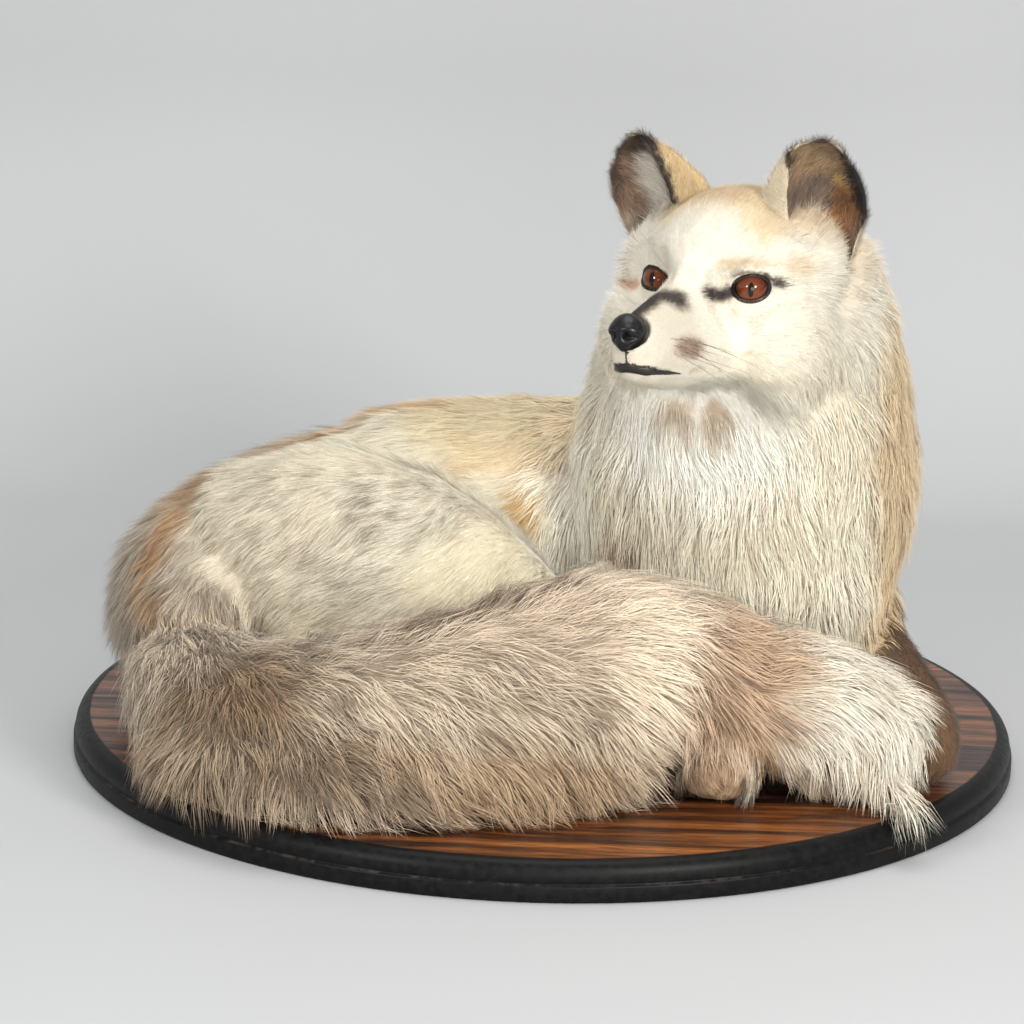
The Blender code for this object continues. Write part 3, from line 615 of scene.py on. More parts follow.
def lie(points, normals, nodes):
    """Direction of the hair at each point, before it is drawn into the surface."""
    x, y, z = (points * 1000.0).T
    here = {part: on(nodes, [part])[:, None] for part in FLESH}
    spine = along(points, SPINE)
    flow = spine + 0.55 * DOWN
    front = (smoothstep(40, -20, y) * smoothstep(-30, 20, x))[:, None]
    hang = DOWN + 0.25 * normals
    flow = np.where(here["chest"], (1 - front) * flow + front * hang, flow)
    nape = smoothstep(0, 60, y)[:, None]
    flow = np.where(here["neck"], (1 - 0.5 * nape) * DOWN + 0.5 * nape * spine, flow)
    flow = np.where(here["rump"], 0.7 * spine + 0.75 * DOWN + 0.2 * normals, flow)
    flow = np.where(here["thigh"] | here["shank"], np.array(THIGH_LIE), flow)
    for leg, line in LEGS.items():
        flow = np.where(here[leg], along(points, line), flow)
    tail = on(nodes, TAIL_PARTS)[:, None]
    low = smoothstep(95, 45, z)[:, None]
    face = smoothstep(0.1, -0.7, normals[:, 1])[:, None]
    flow = np.where(tail, along(points, TAIL) + (0.30 + 0.2 * face + 1.2 * low) * DOWN, flow)
    from_whorl = points - np.array(WHORL)
    reach = np.linalg.norm(from_whorl, axis=1, keepdims=True)
    pull = 0.9 * smoothstep(0.105, 0.045, reach) * tail * smoothstep(0.026, -0.020, from_whorl[:, 2:])
    fan = DOWN + np.clip(from_whorl[:, :1] / 0.040, -1.1, 0.35) * (1.0, 0.2, 0.0)
    flow = (1 - pull) * flow + pull * (fan + 0.45 * wobble(points, 28.0, 17.0))
    local = to_head(points)
    back = head_vectors(unit(local - np.array(NOSE_ROOT)))
    sag = smoothstep(10, -50, local[:, 0] * 1000.0) * smoothstep(40, -10, local[:, 2] * 1000.0)
    flow = np.where(on(nodes, HEAD_PARTS)[:, None], back + 0.9 * sag[:, None] * DOWN, flow)
    for side in SIDES:
        near = smoothstep(0.021, 0.012, eye_angles(points, side)[2])[:, None]
        flow = (1 - near) * flow + near * unit(points - np.array(eye_frame(side).translation))
    return unit(flow)


# ---------------------------------------------------------------- skin
def applied(obj):
    """The object's mesh with its modifiers applied, and the object gone."""
    graph = bpy.context.evaluated_depsgraph_get()
    mesh = bpy.data.meshes.new_from_object(obj.evaluated_get(graph))
    bpy.data.objects.remove(obj)
    return mesh


def eye_frame(side, turn=0.0, tilt=0.0, lift=0.0):
    """An eye's frame in the world: +X looks out, +Y is the fox's left, +Z up. Angles in degrees."""
    turns = Euler((side * math.radians(tilt), -math.radians(lift), math.radians(turn)), "XYZ")
    return HEAD @ Matrix.Translation(EYES[side][0]) @ turns.to_matrix().to_4x4()


def opening_frame(side):
    """An eye's frame, turned to face the opening between its lids."""
    _, turn, tilt = EYES[side][:3]
    return eye_frame(side, turn, tilt)


def eye_angles(points, side):
    """(across, up, distance) of world points as seen from the middle of an eye, facing the opening.

    Across is positive towards the outer corner.
    """
    local = placed(points, opening_frame(side).inverted())
    reach = np.linalg.norm(local, axis=1)
    across = np.arctan2(side * local[:, 1], local[:, 0])
    up = np.arcsin(np.clip(local[:, 2] / np.maximum(reach, 1e-9), -1, 1))
    return across, up, reach


def opening(across, side):
    """(lower, upper) edge of the opening between the lids, as angles up, at an angle across."""
    wide, high, low = np.radians(EYES[side][3:6])
    share = np.clip(np.abs(across) / wide, 0.0, 1.0)
    arch = np.clip(1.0 - share**2.1, 0.0, 1.0) ** 0.72
    return -low * arch, high * arch


def flesh_mesh(flesh):
    """The solids of flesh and the two eyelids as one closed, even surface."""
    work = bmesh.new()
    for side in SIDES:
        size = EYE_RADIUS + LID
        bmesh.ops.create_icosphere(work, subdivisions=4, radius=size, matrix=eye_frame(side))
    lids = bpy.data.meshes.new("lids")
    work.to_mesh(lids)
    work.free()
    lid_points, lid_faces = read_mesh(lids)
    points = np.concatenate([flesh.points, lid_points])
    faces = np.concatenate([flesh.faces, lid_faces + len(flesh.points)])
    body = show("flesh", make_mesh("flesh", points, faces))
    remesh = body.modifiers.new("even", "REMESH")
    remesh.mode = "VOXEL"
    remesh.voxel_size = SKIN_VOXEL
    smooth = body.modifiers.new("smooth", "SMOOTH")
    smooth.factor = 0.5
    smooth.iterations = SKIN_SMOOTHING
    return applied(body)


def largest_part(points, faces):
    """The faces of the largest connected part, with its own points."""
    label = np.arange(len(points))
    edges = neighbours(faces)
    while True:
        low = np.minimum(label[edges[:, 0]], label[edges[:, 1]])
        new = label.copy()
        np.minimum.at(new, edges[:, 0], low)
        np.minimum.at(new, edges[:, 1], low)
        new = new[new]
        if (new == label).all():
            break
        label = new
    names, counts = np.unique(label, return_counts=True)
    keep = label == names[counts.argmax()]
    index = np.cumsum(keep) - 1
    return points[keep], index[faces[keep[faces[:, 0]]]]


def coat_depth(points, normals, faces, nodes):
    """How far the skin lies inside the coat's outline: never more than a third of what is behind it."""
    depth = hair(points, nodes)[:, 1]
    tree = BVHTree.FromPolygons(points.tolist(), faces.tolist())
    start = (points - normals * 0.0006).tolist()
    room = np.full(len(points), 0.2)
    for k, (p, n) in enumerate(zip(start, (-normals).tolist())):
        hit = tree.ray_cast(p, n, 0.06)[3]
        if hit is not None:
            room[k] = hit
    edges = neighbours(faces)
    depth = np.minimum(relaxed(depth, edges, 12), 0.32 * room)
    for side in SIDES:
        _, _, reach = eye_angles(points, side)
        depth *= smoothstep(EYE_RADIUS + LID + 0.001, EYE_RADIUS + LID + 0.007, reach)
    return relaxed(depth, edges, 6)


def thinned(mesh, fine):
    """The mesh with fewer triangles where fine is False."""
    obj = show("skin_work", mesh)
    group = obj.vertex_groups.new(name="coarse")
    group.add(np.flatnonzero(~fine).tolist(), 1.0, "REPLACE")
    modifier = obj.modifiers.new("thin", "DECIMATE")
    modifier.ratio = 1.0 - (1.0 - BODY_DETAIL) * float((~fine).mean())
    modifier.vertex_group = group.name
    modifier.use_collapse_triangulate = True
    return applied(obj)


def refined(mesh, wanted, rounds=1):
    """The mesh with the edges cut where wanted(points) is true."""
    work = bmesh.new()
    work.from_mesh(mesh)
    for _ in range(rounds):
        work.verts.index_update()
        mark = wanted(np.array([v.co[:] for v in work.verts]))
        edges = [e for e in work.edges if mark[e.verts[0].index] and mark[e.verts[1].index]]
        bmesh.ops.subdivide_edges(work, edges=edges, cuts=1, use_grid_fill=True, smooth=0.0)
        bmesh.ops.triangulate(work, faces=[f for f in work.faces if len(f.verts) > 3])
    work.to_mesh(mesh)
    work.free()
    return mesh


def near_eyes(points):
    """Whether each point is close to an eye."""
    return np.minimum(eye_angles(points, 1)[2], eye_angles(points, -1)[2]) < 0.0165


def near_mouth(points):
    """Whether each point is on the lower half of the muzzle."""
    local = to_head(points)
    return (local[:, 0] > 0.042) & (local[:, 2] < 0.0) & (np.abs(local[:, 1]) < 0.03)


def reshaped(points, normals):
    """The skin with its soft forms corrected: the swells, and the tip of the muzzle drawn forward."""
    local = to_head(points)
    push = np.zeros(len(points))
    for middle, radii, out in SWELLS:
        reach = np.linalg.norm((local * 1000.0 - middle) / radii, axis=1)
        push += out / 1000.0 * np.exp(-(reach**2))
    for side in SIDES:
        push *= smoothstep(0.013, 0.026, eye_angles(points, side)[2])
    forward = MUZZLE_REACH * smoothstep(0.045, 0.080, local[:, 0]) * (local[:, 2] < 0.010)
    return points + normals * push[:, None] + head_vectors(forward[:, None] * (1, 0, 0))


def closed_curve(points, number):
    """Evenly stepped points on a smooth closed curve through the rows of points."""
    count = len(points)
    steps = np.arange(number) * count / number
    k = steps.astype(int)
    f = (steps - k)[:, None]
    return spline(*(points[(k + shift) % count] for shift in (-1, 0, 1, 2)), f)


def ear_mesh(side):
    """(points, triangles, place on the ear) of one ear: a cup open to the front.

    The place is 1 inside the cup or 0 outside, -1 at the inner rim to 1 at the outer one, and the share of
    the ear's height.
    """
    rise = EAR_TIP - EAR_BASE
    turn = EAR_TURN[side]
    open_to = np.array((math.cos(turn), math.sin(turn), 0.0))
    open_to = unit(open_to - rise * (open_to @ rise) / (rise @ rise))
    across = unit(np.cross(rise, open_to))
    table = np.array(EARS[side], float)
    wide = 65
    rows, places = [], []
    for level in (*np.linspace(EAR_FOOT, 0.85, 30), *np.linspace(0.87, EAR_TOP, 12)):
        inner, outer, flare, cup = (np.interp(level, table[:, 0], table[:, k]) for k in range(1, 5))
        middle = (inner + outer) / 2
        outline = np.array(
            (
                (inner, 0.0), (0.55 * flare + 0.45 * inner, -0.18 * cup), (flare, -0.50 * cup),
                (0.55 * flare + 0.45 * middle, -0.95 * cup), (middle, -1.05 * cup - EAR_WALL),
                (0.6 * outer + 0.4 * middle, -0.85 * cup - EAR_WALL), (outer + 1.0, -0.30 * cup),
                (outer, 0.6), (outer - 1.6, -0.30 * cup), (0.55 * outer + 0.45 * middle, -0.72 * cup),
                (middle, -0.86 * cup), (0.55 * inner + 0.45 * middle, -0.72 * cup),
                (inner + 1.4, -0.25 * cup),
            )
        )
        ring = closed_curve(outline, wide)
        where = np.arange(wide) * len(outline) / wide
        inside = (where > 7.0) & (where < 13.0)
        share = (ring[:, 0] - middle) / max((outer - inner) / 2, 0.5)
        places.append(np.stack([inside, share, np.full(wide, level)], axis=1))
        rows.append(EAR_BASE + rise * level + (across * ring[:, :1] + open_to * ring[:, 1:]) / 1000.0)
    rows = np.array(rows)
    rows += 0.0009 * wobble(rows.reshape(-1, 3), 110.0, 5.0 * side).reshape(rows.shape)
    points = np.concatenate([rows.reshape(-1, 3), rows[:1].mean(axis=1), rows[-1:].mean(axis=1)])
    places = np.concatenate([*places, [(0, 0, EAR_FOOT), (0, 0, EAR_TOP)]])
    ring = np.arange(wide)
    after = (ring + 1) % wide
    foot, top = len(points) - 2, len(points) - 1
    last = (len(rows) - 1) * wide
    under = np.stack([after, ring, np.full(wide, foot)], axis=1)
    over = np.stack([last + ring, last + after, np.full(wide, top)], axis=1)
    faces = np.concatenate([grid_faces(len(rows), wide), under, over])
    points = placed(points * (1, side, 1), HEAD)
    corners = points[faces]
    if np.einsum("ij,ij->i", corners[:, 0], np.cross(corners[:, 1], corners[:, 2])).sum() < 0:
        faces = faces[:, ::-1]
    return points, faces, places


def carve_eyes(points, edges):
    """Opens a socket round each eye, as a height along the eye's own axis.

    Outside the opening the skin falls to its edge or lies over the eye, and inside it sinks behind the eye.
    """
    for side in SIDES:
        frame = np.array(opening_frame(side))
        local = (points - frame[:3, 3]) @ frame[:3, :3]
        reach = np.linalg.norm(local, axis=1)
        near = np.flatnonzero((reach < SOCKET_FADE[0]) & (local[:, 0] > -0.006))
        spot = local[near]
        edge = eye_outline(side) * LID_EDGE
        apart = np.linalg.norm(spot[:, None, 1:] - edge[None, :, 1:], axis=-1)
        limit = np.interp(
            np.arctan2(spot[:, 2], spot[:, 1]),
            np.arctan2(edge[:, 2], edge[:, 1]),
            np.linalg.norm(edge[:, 1:], axis=1),
            period=2 * np.pi,
        )
        wide = np.linalg.norm(spot[:, 1:], axis=1)
        inside = wide < limit
        cover = np.sqrt(np.maximum(LID_EDGE**2 - wide**2, 0.0))
        fall = np.maximum(edge[apart.argmin(axis=1), 0] + SOCKET_SLOPE * apart.min(axis=1), cover)
        field = np.zeros(len(points))
        field[near] = np.minimum(spot[:, 0], np.where(inside, cover, fall)) - spot[:, 0]
        settled = spot[:, 0] + smoothstep(*SOCKET_FADE, reach[near]) * relaxed(field, edges, 8)[near]
        settled = np.where(wide < LID_EDGE, np.maximum(settled, cover), settled)
        behind = np.sqrt(np.maximum(EYE_BACK**2 - wide**2, 0.0))
        local[near, 0] = np.where(inside, np.minimum(spot[:, 0], behind), settled)
        points = placed(local, frame)
    return points


def mouth_zone(points):
    """(how far below the line of the mouth, distance from it, share of the way from front to corner)."""
    local = to_head(points)
    local[:, 1] = np.abs(local[:, 1])
    line = np.array(MOUTH)
    share, away = from_line(local, line)
    best = away.argmin(axis=1)
    rows = np.arange(len(local))
    share = share[rows, best]
    height = line[best, 2] + share * (line[best + 1, 2] - line[best, 2])
    return height - local[:, 2], away[rows, best], (best + share) / (len(line) - 1)


def lip_width(place):
    """Width of the lower lip at a share of the way from the front to the corner."""
    return np.interp(place, (0.0, 0.33, 0.66, 1.0), LIP_WIDTH)


def on_lips(points, margin=0.0):
    """1 on the bare dark lips, 0 off them."""
    below, away, place = mouth_zone(points)
    reach = np.where(below > 0, away - lip_width(place), away - 0.0006)
    return smoothstep(margin + 0.0004, margin - 0.0004, reach) * (place < 0.99)


def eye_outline(side, number=160):
    """Rays from the middle of an eye to the edge of the opening between its lids, in the eye's own frame."""
    around = np.linspace(0.0, 2 * np.pi, number, endpoint=False)
    across = math.radians(EYES[side][3]) * np.cos(around)
    lower, upper = opening(across, side)
    up = np.where(np.sin(around) >= 0, upper, lower)
    return np.stack([np.cos(up) * np.cos(across), side * np.cos(up) * np.sin(across), np.sin(up)], axis=1)


def eye_margin(points, side):
    """Distance of each point from the edge of an eye's opening in eye radii: below 0 inside, 3 if far off."""
    across, up, reach = eye_angles(points, side)
    margin = np.full(len(points), 3.0)
    near = np.flatnonzero(reach < 0.026)
    if len(near) == 0:
        return margin
    a, b, r = across[near], up[near], reach[near]
    spot = np.stack([np.cos(b) * np.cos(a), side * np.cos(b) * np.sin(a), np.sin(b)], axis=1) * r[:, None]
    edge = eye_outline(side) * LID_EDGE
    away = np.linalg.norm(spot[:, None] - edge[None], axis=-1).min(axis=1) / EYE_RADIUS
    low, high = opening(a, side)
    inside = (np.abs(a) < math.radians(EYES[side][3])) & (b > low) & (b < high) & (r < EYE_RADIUS + 0.0016)
    margin[near] = np.where(inside, -away, away)
    return margin


class Skin:
    """The fox's skin, and over it the length, depth, number, width and lie of its hair."""

    def __init__(self, flesh):
        points, faces = read_mesh(flesh_mesh(flesh))
        points, faces = largest_part(points, faces)
        normals = vertex_normals(points, faces)
        nodes = flesh.nearest_node(points)
        points = points - normals * coat_depth(points, normals, faces, nodes)[:, None]
        points = reshaped(points, normals)
        fine = on(nodes, HEAD_PARTS) & (to_head(points)[:, 0] > -0.050)
        mesh = thinned(make_mesh("skin", points, faces), fine)
        mesh = refined(mesh, near_mouth)
        mesh = refined(mesh, near_eyes, 2)
        points, faces = read_mesh(mesh)
        points = carve_eyes(points, neighbours(faces))
        nodes = flesh.nearest_node(points)
        ears = np.zeros((len(points), 3))
        for side, part in zip(SIDES, EAR_PARTS):
            p, f, place = ear_mesh(side)
            faces = np.concatenate([faces, f + len(points)])
            points = np.concatenate([points, p])
            nodes = np.concatenate([nodes, np.full(len(p), FLESH.index(part))])
            ears = np.concatenate([ears, place])
        self.points, self.faces, self.nodes, self.ears = points, faces, nodes, ears
        self.normals = vertex_normals(points, faces)
        self.edges = neighbours(faces)
        fields = relaxed(hair(points, nodes), self.edges, 10)
        fields[:, :2] *= 1.0 + (EAR_INSIDE - 1.0) * ears[:, :1]
        self.length, self.depth, self.count, self.width = fields.T
        flow = lie(points, self.normals, nodes)
        for side, part in zip(SIDES, EAR_PARTS):
            rise = head_vectors(unit((EAR_TIP - EAR_BASE) * (1, side, 1)))
            out = head_vectors(np.array((0.0, float(side), 0.0)))
            spread = np.where(ears[:, 0] > 0.5, 0.9, 0.35 * ears[:, 1])[:, None]
            flow = np.where(on(nodes, [part])[:, None], unit(rise + spread * out), flow)
        for _ in range(6):
            flow = relaxed(flow, self.edges, 3)
            flow = unit(flow - (flow * self.normals).sum(1, keepdims=True) * self.normals)
        self.flow = flow

    def bare(self, points):
        """Share of the hair that is missing: on the rims of the eyes, the lips and under the nose pad."""
        gone = np.zeros(len(points))
        for side in SIDES:
            gone = np.maximum(gone, smoothstep(0.13, 0.07, eye_margin(points, side)))
        gone = np.maximum(gone, on_lips(points, 0.0003))
        pad = np.linalg.norm(to_head(points) - np.array(NOSE_PLACE), axis=1)
        gone = np.maximum(gone, pad < NOSE_BARE)
        return np.maximum(gone, points[:, 2] < BOARD_TOP + 0.002)


# ---------------------------------------------------------------- markings
def patch(points, middle, radii, soft=0.35):
    """1 inside an ellipsoid, falling to 0 outside it."""
    reach = np.linalg.norm((points - np.array(middle)) / np.array(radii), axis=1)
    return smoothstep(1.0 + soft, 1.0 - soft, reach)


def stripe(points, line, reach, soft=0.55):
    """1 near a line of points, falling to 0 away from it."""
    away = from_line(points, np.array(line, float))[1].min(axis=1) / reach
    return smoothstep(1.0 + soft, 1.0 - soft, away)


def stained(coat, weight, light, dark, share):
    """Rows of light colour, dark colour and share of dark hairs, drawn by their weight towards new ones."""
    return coat + weight[:, None] * (np.array((*light, *dark, share)) - coat)


def markings(points, nodes, ears):
    """(light colour, dark colour, share of dark hairs) of the coat at each point."""
    moved = points + 0.006 * wobble(points, 42.0) + 0.0025 * wobble(points, 150.0, 9.0)
    spots = {
        "world": moved * 1000.0,
        "head": to_head(moved) * 1000.0,
        "face": to_head(points) * 1000.0 + 1.6 * wobble(points, 330.0, 4.0),
    }
    coat = by_node({part: (*light, *dark, share) for part, (light, dark, share) in BASE.items()}, nodes)
    for where, middle, radii, soft, *colours in MARKS:
        frame, kept = where.split()
        coat = stained(coat, patch(spots[frame], middle, radii, soft) * on(nodes, KEPT_TO[kept]), *colours)
    for where, line, reach, *colours in STRIPES:
        frame, kept = where.split()
        coat = stained(coat, stripe(spots[frame], line, reach) * on(nodes, KEPT_TO[kept]), *colours)
    jitter = wobble(points, 160.0, 2.0)
    for side, part in zip(SIDES, EAR_PARTS):
        here = on(nodes, [part])
        inside, across, level = ears[here].T
        across, level = across + 0.22 * jitter[here, 0], level + 0.10 * jitter[here, 1]
        kept = {"rim": 1.0, "inside": inside > 0.5, "outside": inside < 0.5}
        for kind, middle, radii, *colours in EAR_MARKS[side]:
            reach = np.hypot((across - middle[0]) / radii[0], (level - middle[1]) / radii[1])
            coat[here] = stained(coat[here], smoothstep(1.25, 0.75, reach) * kept[kind], *colours)
    return coat[:, :3], coat[:, 3:6], coat[:, 6]


# ---------------------------------------------------------------- tufts
def rooted(skin, random):
    """Roots spread over the skin: arrays of place, normal, flow, node and the hair's sizes."""
    corners = skin.points[skin.faces]
    area = np.linalg.norm(np.cross(corners[:, 1] - corners[:, 0], corners[:, 2] - corners[:, 0]), axis=1) / 2
    middle = corners.mean(axis=1)
    wanted = skin.count[skin.faces].mean(1) * (1.0 - skin.bare(middle)) * skin.open[skin.faces].mean(1)
    number = area * wanted * DENSITY
    number = np.floor(number + random.random(len(number))).astype(int)
    face = np.repeat(np.arange(len(number)), number)
    u, v = random.random((2, len(face)))
    over = u + v > 1
    u, v = np.where(over, 1 - u, u), np.where(over, 1 - v, v)
    weights = np.stack([1 - u - v, u, v], axis=1)

    def at(field):
        picked = field[skin.faces[face]]
        return np.einsum("nk,nk...->n...", weights, picked)

    return {
        "root": at(skin.points), "normal": unit(at(skin.normals)), "flow": unit(at(skin.flow)),
        "length": at(skin.length), "depth": at(skin.depth), "width": at(skin.width),
        "node": skin.nodes[skin.faces[face, 0]], "ear": skin.ears[skin.faces[face, 0]],
    }


def brushed(tufts, random):
    """Bends the tufts: each one's lie wavers, and tufts near each other lean together into locks.

    Adds "rise" and "end", the directions in which each tuft leaves the skin and in which it ends.
    """
    root, normal, flow = tufts["root"], tufts["normal"], tufts["flow"]
    number = len(root)
    side = np.cross(normal, flow)
    long_ = smoothstep(0.006, 0.022, tufts["length"])
    sway = (0.35 + 0.45 * long_) * wobble(root, 24.0, 3.0)[:, 0]
    sway = sway + (0.15 + 0.35 * long_) * wobble(root, 75.0, 6.0)[:, 0]
    loose = 0.10 + 0.08 * long_ + 0.22 * on(tufts["node"], EAR_PARTS)
    sway = sway + random.normal(0.0, 1.0, number) * loose
    flow = flow * np.cos(sway)[:, None] + side * np.sin(sway)[:, None]
    length = tufts["length"] * random.uniform(0.65, 1.20, number)
    swell = 1.0 + 0.5 * long_ * wobble(root, 60.0, 12.0)[:, 1]
    stand = 2.0 * tufts["depth"] / tufts["length"] * random.uniform(0.25, 1.10, number) * swell
    stand = np.clip(stand, 0.05, 0.85)
    rise = unit(flow * np.sqrt(1 - stand**2)[:, None] + normal * stand[:, None])
    fall = (0.25 * smoothstep(0.010, 0.030, tufts["length"]))[:, None]
    end = unit(flow + 0.04 * normal + fall * DOWN + random.normal(0.0, 0.07, (number, 3)))
    tip = root + length[:, None] * (rise + end) / 2
    leaders = random.choice(number, max(number // CLUMP, 1), replace=False)
    tree = KDTree(len(leaders))
    for k, leader in enumerate(leaders.tolist()):
        tree.insert(root[leader], k)
    tree.balance()
    nearest = leaders[[tree.find(p)[1] for p in root.tolist()]]
    pull = (0.85 * smoothstep(0.005, 0.022, tufts["length"]) * random.uniform(0.35, 1.0, number))[:, None]
    meet = tip[nearest] + 0.22 * (root - root[nearest])
    reach = np.linalg.norm(meet - root, axis=1)
    pull = pull * (reach < 1.5 * length)[:, None]
    tip = tip + pull * (meet - tip)
    end = 2 * (tip - root) / length[:, None] - rise
    tufts.update(length=length, rise=rise, end=end, flow=flow, leader=nearest)
    return tufts


def off_the_board(points):
    """Points lifted so that no hair sinks into the board."""
    over = np.hypot(points[..., 0], points[..., 1]) < BOARD_RADIUS + 0.0005
    floor = np.where(over, BOARD_TOP + 0.0006, 0.001)
    lifted = np.maximum(points[..., 2], floor + 0.02 * np.maximum(floor - points[..., 2], 0))
    return np.concatenate([points[..., :2], lifted[..., None]], axis=-1)


def coloured(tufts, random):
    """Colours of each tuft at its root, its middle and its tip."""
    light, dark, share = markings(tufts["root"], tufts["node"], tufts["ear"])
    number = len(share)
    share = np.clip(share * (1.0 + 0.9 * wobble(tufts["root"], 65.0, 21.0)[:, 0]), 0.0, 0.9)
    lock = random.random(number)[tufts["leader"]]
    uneven = np.where(on(tufts["node"], EAR_PARTS), 0.20, 0.06)
    is_dark = (0.5 * random.random(number) + 0.5 * lock < 0.19 + 0.62 * share)[:, None]
    is_dark = is_dark & (share > 0.01)[:, None]
    tone = np.clip(1.0 + uneven * random.normal(0.0, 1.0, number) + 0.12 * (lock - 0.5), 0.45, 1.5)[:, None]
    light = light * tone
    # painted shade at the roots, deeper under longer hair
    root = light * np.interp(tufts["length"], *SHADES)[:, None]
    under = np.clip(1.4 * share - 0.12, 0.0, 0.70)[:, None]
    root = (1 - under) * root + under * dark
    middle = np.where(is_dark, 0.45 * light + 0.55 * dark, (1 - 0.25 * under) * light + 0.25 * under * dark)
    tip = np.where(is_dark, dark, np.minimum(light * TIP_SHADE, 0.93))
    return [np.clip(c, 0.004, 0.93) for c in (root, middle, tip)]


def tuft_mesh(name, tufts, colours, rings):
    """One mesh of thin three-sided tufts, each closed, curved and drawn out to a point."""
    number = len(tufts["root"])
    share = np.linspace(0.0, 1.0, rings + 1)
    wide = np.interp(share, (0.0, 0.3, 0.7, 1.0), (0.80, 1.0, 0.62, 0.0))
    root, rise, end = (tufts[k][:, None, :] for k in ("root", "rise", "end"))
    s = share[None, :, None]
    line = root + tufts["length"][:, None, None] * (s * rise + s * s * (end - rise) / 2)
    line[:, 0] -= 0.0005 * tufts["normal"]
    line = off_the_board(line)
    run = unit(rise + s * (end - rise))
    normal = tufts["normal"][:, None, :]
    side = unit(np.cross(run, normal))
    up = np.cross(side, run)
    half = tufts["width"][:, None, None] * wide[None, :, None] / 2
    left, right, top = line - side * half, line + side * half, line + up * half * 0.75
    shape = np.stack([left, right, top], axis=2)[:, :rings].reshape(number, -1, 3)
    points = np.concatenate([shape, line[:, rings:]], axis=1)
    soft = unit(up + SOFTNESS * normal)
    lean = np.stack([soft - 0.55 * side, soft + 0.55 * side, soft], axis=2)[:, :rings].reshape(number, -1, 3)
    normals = unit(np.concatenate([lean, soft[:, rings:]], axis=1))
    per = 3 * rings + 1
    faces = [(0, 1, 2)]
    for ring in range(rings - 1):
        for a, b in ((0, 2), (2, 1), (1, 0)):
            low, high = 3 * ring, 3 * ring + 3
            faces += [(low + a, low + b, high + b), (low + a, high + b, high + a)]
    last = 3 * (rings - 1)
    faces += [(last + a, last + b, per - 1) for a, b in ((0, 2), (2, 1), (1, 0))]
    faces = np.array(faces)
    everyone = (faces[None] + per * np.arange(number)[:, None, None]).reshape(-1, 3)
    mesh = make_mesh(name, points.reshape(-1, 3), everyone)
    stops = np.array([np.interp(share, (0.0, 0.45, 1.0), (c0, c1, c2)) for c0, c1, c2 in np.eye(3)])
    shade = sum(stops[k][None, :, None] * colours[k][:, None, :] for k in range(3))
    shade = np.concatenate([np.repeat(shade[:, :rings], 3, axis=1), shade[:, rings:]], axis=1)
    paint(mesh, shade.reshape(-1, 3))
    attribute = mesh.attributes.new("custom_normal", "FLOAT_VECTOR", "POINT")
    attribute.data.foreach_set("vector", normals.astype(np.float32).ravel())
    across = np.tile((0.0, 1.0, 0.5), rings)
    u = np.append(across, 0.5) - 0.5
    v = np.append(np.repeat(share[:rings], 3), 1.0) - 0.5
    spot = tufts["uv"][:, None, :] + PATCH * np.stack([u, v], axis=1)[None]
    layer = mesh.uv_layers.new(name="OFBake")
    layer.data.foreach_set("uv", spot.reshape(-1, 2)[everyone.ravel()].astype(np.float32).ravel())
    return mesh


def paint(mesh, colours):
    """Gives the mesh the colour attribute that its material reads."""
    values = np.concatenate([colours, np.ones((len(colours), 1))], axis=1)
    attribute = mesh.color_attributes.new("tint", "FLOAT_COLOR", "POINT")
    attribute.data.foreach_set("color", values.astype(np.float32).ravel())


def unwrapped(mesh):
    """A lookup from places on the skin to places on an unwrap of its shape."""
    obj = show("unwrap", mesh.copy())
    thin = obj.modifiers.new("thin", "DECIMATE")
    thin.ratio = UNWRAP_TRIANGLES / len(mesh.polygons)
    plain = show("unwrap_thin", applied(obj))
    bpy.context.view_layer.objects.active = plain
    plain.select_set(True)
    bpy.ops.object.mode_set(mode="EDIT")
    bpy.ops.mesh.select_all(action="SELECT")
    bpy.ops.uv.smart_project(angle_limit=math.radians(66), island_margin=0.004)
    bpy.ops.object.mode_set(mode="OBJECT")
    points, faces = read_mesh(plain.data)
    loops = np.empty(len(plain.data.loop_triangles) * 3, np.int32)
    plain.data.loop_triangles.foreach_get("loops", loops)
    uv = np.empty(len(plain.data.loops) * 2)
    plain.data.uv_layers.active.data.foreach_get("uv", uv)
    uv = uv.reshape(-1, 2)[loops.reshape(-1, 3)]
    bpy.data.objects.remove(plain)
    tree = BVHTree.FromPolygons(points.tolist(), faces.tolist())

    def look_up(places):
        hits = [tree.find_nearest(p) for p in places.tolist()]
        face = np.array([h[2] for h in hits])
        spot = np.array([h[0][:] for h in hits])
        a, b, c = (points[faces[face, k]] for k in range(3))
        whole = np.linalg.norm(np.cross(b - a, c - a), axis=1)
        wa = np.linalg.norm(np.cross(b - spot, c - spot), axis=1)
        wb = np.linalg.norm(np.cross(c - spot, a - spot), axis=1)
        weights = np.stack([wa, wb, whole - wa - wb], axis=1) / np.maximum(whole, 1e-15)[:, None]
        return np.einsum("nk,nkd->nd", weights, uv[face])

    return look_up


def openness(skin):
    """1 where hair has room to grow, 0 in the creases between limbs and on the seat of the body."""
    tree = BVHTree.FromPolygons(skin.points.tolist(), skin.faces.tolist())
    room = np.full(len(skin.points), 1.0)
    start = (skin.points + 0.0015 * skin.normals).tolist()
    for k, (p, n) in enumerate(zip(start, skin.normals.tolist())):
        hit = tree.ray_cast(p, n, 0.03)[3]
        if hit is not None:
            room[k] = hit
    free = smoothstep(0.004, 0.018, room)
    seat = (skin.points[:, 2] < BOARD_TOP + 0.010) & (skin.normals[:, 2] < -0.6)
    return relaxed(np.where(seat, 0.0, free), skin.edges, 2)


